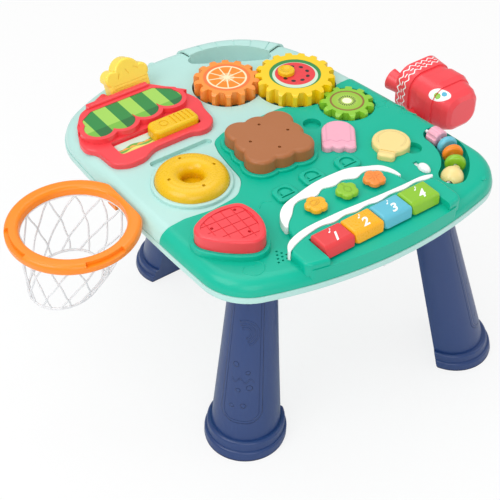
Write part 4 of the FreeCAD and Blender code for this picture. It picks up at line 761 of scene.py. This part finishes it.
def sweep(path, radius, sides=8, closed=False, flat=1.0):
    """Round or flattened cord: a ring of points square to the path at each of its points.

    A ring's point is the path's point + radius * cosine of its angle to the side + flat * radius * sine of
    its angle upwards. The ends of an open cord rise to a point, 0.3 of the radius out.
    """
    path = np.array(path, float)
    tangent = np.roll(path, -1, 0) - np.roll(path, 1, 0) if closed else np.gradient(path, axis=0)
    tangent /= np.linalg.norm(tangent, axis=1)[:, None]
    side = np.cross(tangent, (0.0, 0.0, 1.0))
    side /= np.linalg.norm(side, axis=1)[:, None] + 1e-12
    over = np.cross(side, tangent)
    turn = np.linspace(0, 2 * np.pi, sides, endpoint=False)
    rings = (path[:, None] + side[:, None] * (radius * np.cos(turn))[:, None]
             + over[:, None] * (flat * radius * np.sin(turn))[:, None])
    points = rings.reshape(-1, 3)
    quads = tube_quads(len(path), sides, closed)
    if closed:
        return points, quads, np.zeros((0, 3), int)
    tips = [path[0] - tangent[0] * radius * 0.3, path[-1] + tangent[-1] * radius * 0.3]
    first_tip = len(points)
    last_ring = first_tip - sides
    k = np.arange(sides)
    after = (k + 1) % sides
    start = np.stack([np.full(sides, first_tip), k, after], -1)
    end = np.stack([np.full(sides, first_tip + 1), last_ring + after, last_ring + k], -1)
    return np.vstack([points, tips]), quads, np.vstack([start, end])


def pieces_object(name, parts, material, body):
    """Several swept surfaces kept together as one mesh."""
    all_points, faces, count = [], [], 0
    for points, quads, tris in parts:
        all_points.append(points)
        faces += (quads + count).tolist() + (tris + count).tolist()
        count += len(points)
    mesh = bpy.data.meshes.new(name)
    mesh.from_pydata(np.vstack(all_points).tolist(), [], faces)
    mesh.polygons.foreach_set("use_smooth", np.ones(len(mesh.polygons), bool))
    mesh.update()
    return show(bpy.data.objects.new(name, mesh), material, body)


# The net, in metres: radii of its cords, radius of the hem, swing of the bag, and room left in the CAD net
NET_CORD = 0.0010
HEM_CORD = 0.0015
HEM_RADIUS = 0.0405
NET_SWING = np.array([-0.0125, 0.0090])
NET_INSET = 0.0012
NET_END_INSET = 0.0010
# Pairs of crossing cords, how far round each one goes in radians, and points along a cord and a ring
NET_PAIRS = 12
NET_TWIST = 0.21 * np.pi
CORD_POINTS = 44
RING_POINTS = 72


def hoop_net():
    """Twelve pairs of cords that cross in diamonds down a bag, with a round cord at the top and at the hem.

    The bag draws in to the hem, radius = hem + (top - hem) * (1 - t to the power 1.6), and it swings to one
    side by the swing * t to the power 1.4, with t the share of its depth. Next to the panel the bag is a
    fifth less deep, and the depth grows as a cosine round to the far side. A cord's angle is its start plus
    or minus the twist * t, with a slight sine wobble.
    """
    lo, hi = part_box("hoop_net")
    centre = np.array([(lo.x + hi.x) / 2, (lo.y + hi.y) / 2])
    top, low = hi.z - NET_END_INSET, lo.z + NET_END_INSET
    top_radius = (hi.x - lo.x) / 2 - NET_INSET

    def bag(angle, t):
        r = HEM_RADIUS + (top_radius - HEM_RADIUS) * (1 - t ** 1.6)
        swing = NET_SWING * (t ** 1.4)[..., None]
        depth = (low - top) * (1 - 0.11 * (1 + np.cos(angle)))
        return np.stack([centre[0] + swing[..., 0] + r * np.cos(angle),
                         centre[1] + swing[..., 1] + r * np.sin(angle), top + depth * t], -1)

    parts = []
    steps = np.linspace(0, 1, CORD_POINTS)
    for way in (1, -1):
        for k in range(NET_PAIRS):
            wobble = 0.010 * np.sin(steps * 2 * np.pi * 2.5 + k * 1.7 + way)
            angle = 2 * np.pi * k / NET_PAIRS + way * steps * NET_TWIST + wobble
            parts.append(sweep(bag(angle, steps), NET_CORD, 6))
    ring = np.linspace(0, 2 * np.pi, RING_POINTS, endpoint=False)
    for t, size in ((0.0, NET_CORD), (1.0, HEM_CORD)):
        parts.append(sweep(bag(ring, np.full(RING_POINTS, t)), size, 6, closed=True))
    cotton = plastic("net_cord", (228, 229, 231), 0.6, coat=0.0, cloud=0.0, peel=0.6, peel_scale=2200.0)
    net = pieces_object("net_cords", parts, cotton, "hoop")
    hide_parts("hoop_net")


hoop_net()


# Raised lines moulded on the deck, in millimetres from the middle of the panel

STAR_PLACE = (148.0, -26.0)
STAR_FAR = 11.0
STAR_NEAR = 4.6
TWIG = ((160.0, -36.0), (165.0, -46.0), (162.0, -55.0), (167.0, -66.0))
LEAF = ((165.0, -46.0), (158.0, -49.0), (156.0, -56.0), (162.0, -55.0))
WAVE = ((-78.0, -96.0), (-70.0, -90.0), (-61.0, -94.0))
CLOUD = ((-149.0, -166.0), (-143.0, -160.0), (-136.0, -164.0), (-129.0, -160.0), (-125.0, -168.0),
         (-132.0, -176.0), (-142.0, -176.0))


def curve_through(points, count, closed=False):
    """Smooth line through the points, each step a blend of the four nearest with cubic weights."""
    p = np.array(points, float)
    if closed:
        p = np.vstack([p[-1], p, p[0], p[1]])
    else:
        p = np.vstack([2 * p[0] - p[1], p, 2 * p[-1] - p[-2]])
    spans = len(p) - 3
    t = np.linspace(0, spans, count, endpoint=not closed)
    k = np.minimum(t.astype(int), spans - 1)
    f = (t - k)[:, None]
    a, b, c, d = p[k], p[k + 1], p[k + 2], p[k + 3]
    square = 2 * a - 5 * b + 4 * c - d
    cube = 3 * b - a - 3 * c + d
    return 0.5 * (2 * b + (c - a) * f + square * f ** 2 + cube * f ** 3)


def deck_line(points, count=60, closed=False, radius=0.8):
    """A bead along a line on the deck, sunk by 0.15 of its radius, which is in millimetres."""
    line = curve_through(points, count, closed)
    path = metres(np.column_stack([line, np.full(len(line), DECK - 0.15 * radius)]))
    return sweep(path, radius / 1000.0, 8, closed=closed, flat=0.7)


def deck_lines():
    """A star, a twig with its leaf, a wave and a cloud, each a thin raised bead on the green deck.

    The star's eight corners stand by turns far from its middle and near to it.
    """
    corner = np.arange(8)
    turn = np.radians(corner * 45.0 + 12.0)
    reach = np.where(corner % 2 == 0, STAR_FAR, STAR_NEAR)
    star = np.column_stack([STAR_PLACE[0] + reach * np.cos(turn), STAR_PLACE[1] + reach * np.sin(turn)])
    parts = [deck_line(star, 80, closed=True), deck_line(TWIG), deck_line(LEAF, 40), deck_line(WAVE, 40),
             deck_line(CLOUD, 80, closed=True, radius=0.6)]
    pieces_object("deck_lines", parts, TEAL, "table")


deck_lines()


# Flat prints on the keys

PRINT = plastic("white_print", (252, 252, 250), 0.4, coat=0.0, cloud=0.0, peel=0.05)
# In millimetres: half thickness of a print and its height over the key, size of a number and how far its
# lines are thickened, places of a number and a note in front of the key's back edge, and the note's step to
# the right. The lean is the step across for each step up.
PRINT_HALF = 0.06
PRINT_RISE = 0.05
NUMBER_SIZE = 16.0
NUMBER_BOLD = 0.45
NUMBER_BACK = 17.0
NOTE_BACK = 6.0
NOTE_SIDE = 1.0
NOTE_SCALE = 0.8
KEY_LEAN = 0.45


def flat_print(name, curve, place, body):
    """A curve filled flat, a hair thick, with its middle at a place of the panel."""
    curve.extrude = PRINT_HALF
    holder = bpy.data.objects.new(name + "_outline", curve)
    mesh = bpy.data.meshes.new_from_object(holder)
    bpy.data.objects.remove(holder)
    points = np.empty(len(mesh.vertices) * 3)
    mesh.vertices.foreach_get("co", points)
    points = metres(points.reshape(-1, 3) + np.array(place))
    mesh.vertices.foreach_set("co", points.reshape(-1))
    mesh.name = name
    mesh.update()
    show(bpy.data.objects.new(name, mesh), PRINT, body)


def number_outline(word):
    """The outline of a number, leaning as the key labels do."""
    text = bpy.data.curves.new("number_" + word, "FONT")
    text.body = word
    text.align_x = "CENTER"
    text.align_y = "CENTER"
    text.size = NUMBER_SIZE
    text.shear = KEY_LEAN
    text.offset = NUMBER_BOLD
    text.resolution_u = 6
    return text


def note_outline(flags):
    """A note with a stem, and one or two flags at its top, leaning as the numbers do.

    Its head is an ellipse with half widths of 1.55 and 1.2, before the note is scaled.
    """
    turn = np.radians(np.linspace(-25.0, -325.0, 16))
    head = np.column_stack([1.55 * np.cos(turn), -2.6 + 1.2 * np.sin(turn)])
    tail = [(0.75, -2.0), (0.75, 3.0), (1.2, 3.2), (3.1, 1.6), (2.7, 1.0), (1.45, 1.9)]
    if flags > 1:
        tail += [(1.45, 1.0), (2.9, -0.1), (2.5, -0.7), (1.45, 0.1)]
    points = NOTE_SCALE * np.vstack([head, tail, [(1.45, -2.9)]])
    points[:, 0] += KEY_LEAN * points[:, 1]
    curve = bpy.data.curves.new("note_%d" % flags, "CURVE")
    curve.dimensions = "2D"
    curve.fill_mode = "BOTH"
    line = curve.splines.new("POLY")
    line.points.add(len(points) - 1)
    flat = np.column_stack([points, np.zeros(len(points)), np.ones(len(points))])
    line.points.foreach_set("co", flat.ravel())
    line.use_cyclic_u = True
    return curve


def key_prints():
    """A plain number on each key, one to four, with a note behind it."""
    for i, colour in enumerate(("red", "yellow", "blue", "green")):
        key = "key_" + colour
        lo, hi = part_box(key)
        x = (lo.x + hi.x) * 500.0 - MIDDLE[0]
        back = hi.y * 1000.0 - MIDDLE[1]
        level = hi.z * 1000.0 + PRINT_RISE
        number = number_outline(str(i + 1))
        flat_print("key_number_%d" % (i + 1), number, (x, back - NUMBER_BACK, level), key)
        note = note_outline(1 + i % 2)
        flat_print("key_note_%d" % (i + 1), note, (x + NOTE_SIDE, back - NOTE_BACK, level), key)


key_prints()


# Floor

# Half its side in metres, and the glowing share of what the camera sees
FLOOR_HALF = 6.0
FLOOR_GLOW = 0.8


def floor():
    """A pale matt square that the camera sees as mostly glowing white, so that it meets the backdrop."""
    mesh = bpy.data.meshes.new("floor")
    s = FLOOR_HALF
    mesh.from_pydata([(-s, -s, 0), (s, -s, 0), (s, s, 0), (-s, s, 0)], [], [(0, 1, 2, 3)])
    piece = bpy.data.objects.new("floor", mesh)
    scene.collection.objects.link(piece)
    m = bpy.data.materials.new("pale_floor")
    m.use_nodes = True
    t = Tree(m.node_tree)
    m.node_tree.nodes.clear()
    matt = t.node("BsdfDiffuse")
    matt.inputs["Color"].default_value = (0.9, 0.9, 0.9, 1.0)
    glow = t.node("Emission")
    glow.inputs["Strength"].default_value = 1.0
    ray = t.node("LightPath")
    seen = t.math("MAXIMUM", ray.outputs["Is Camera Ray"], ray.outputs["Is Transmission Ray"])
    surface = t.node("MixShader")
    t.join(t.math("MULTIPLY", seen, FLOOR_GLOW), surface.inputs[0])
    t.join(matt.outputs[0], surface.inputs[1])
    t.join(glow.outputs[0], surface.inputs[2])
    end = t.node("OutputMaterial")
    t.join(surface.outputs[0], end.inputs[0])
    dress(piece, m)


floor()
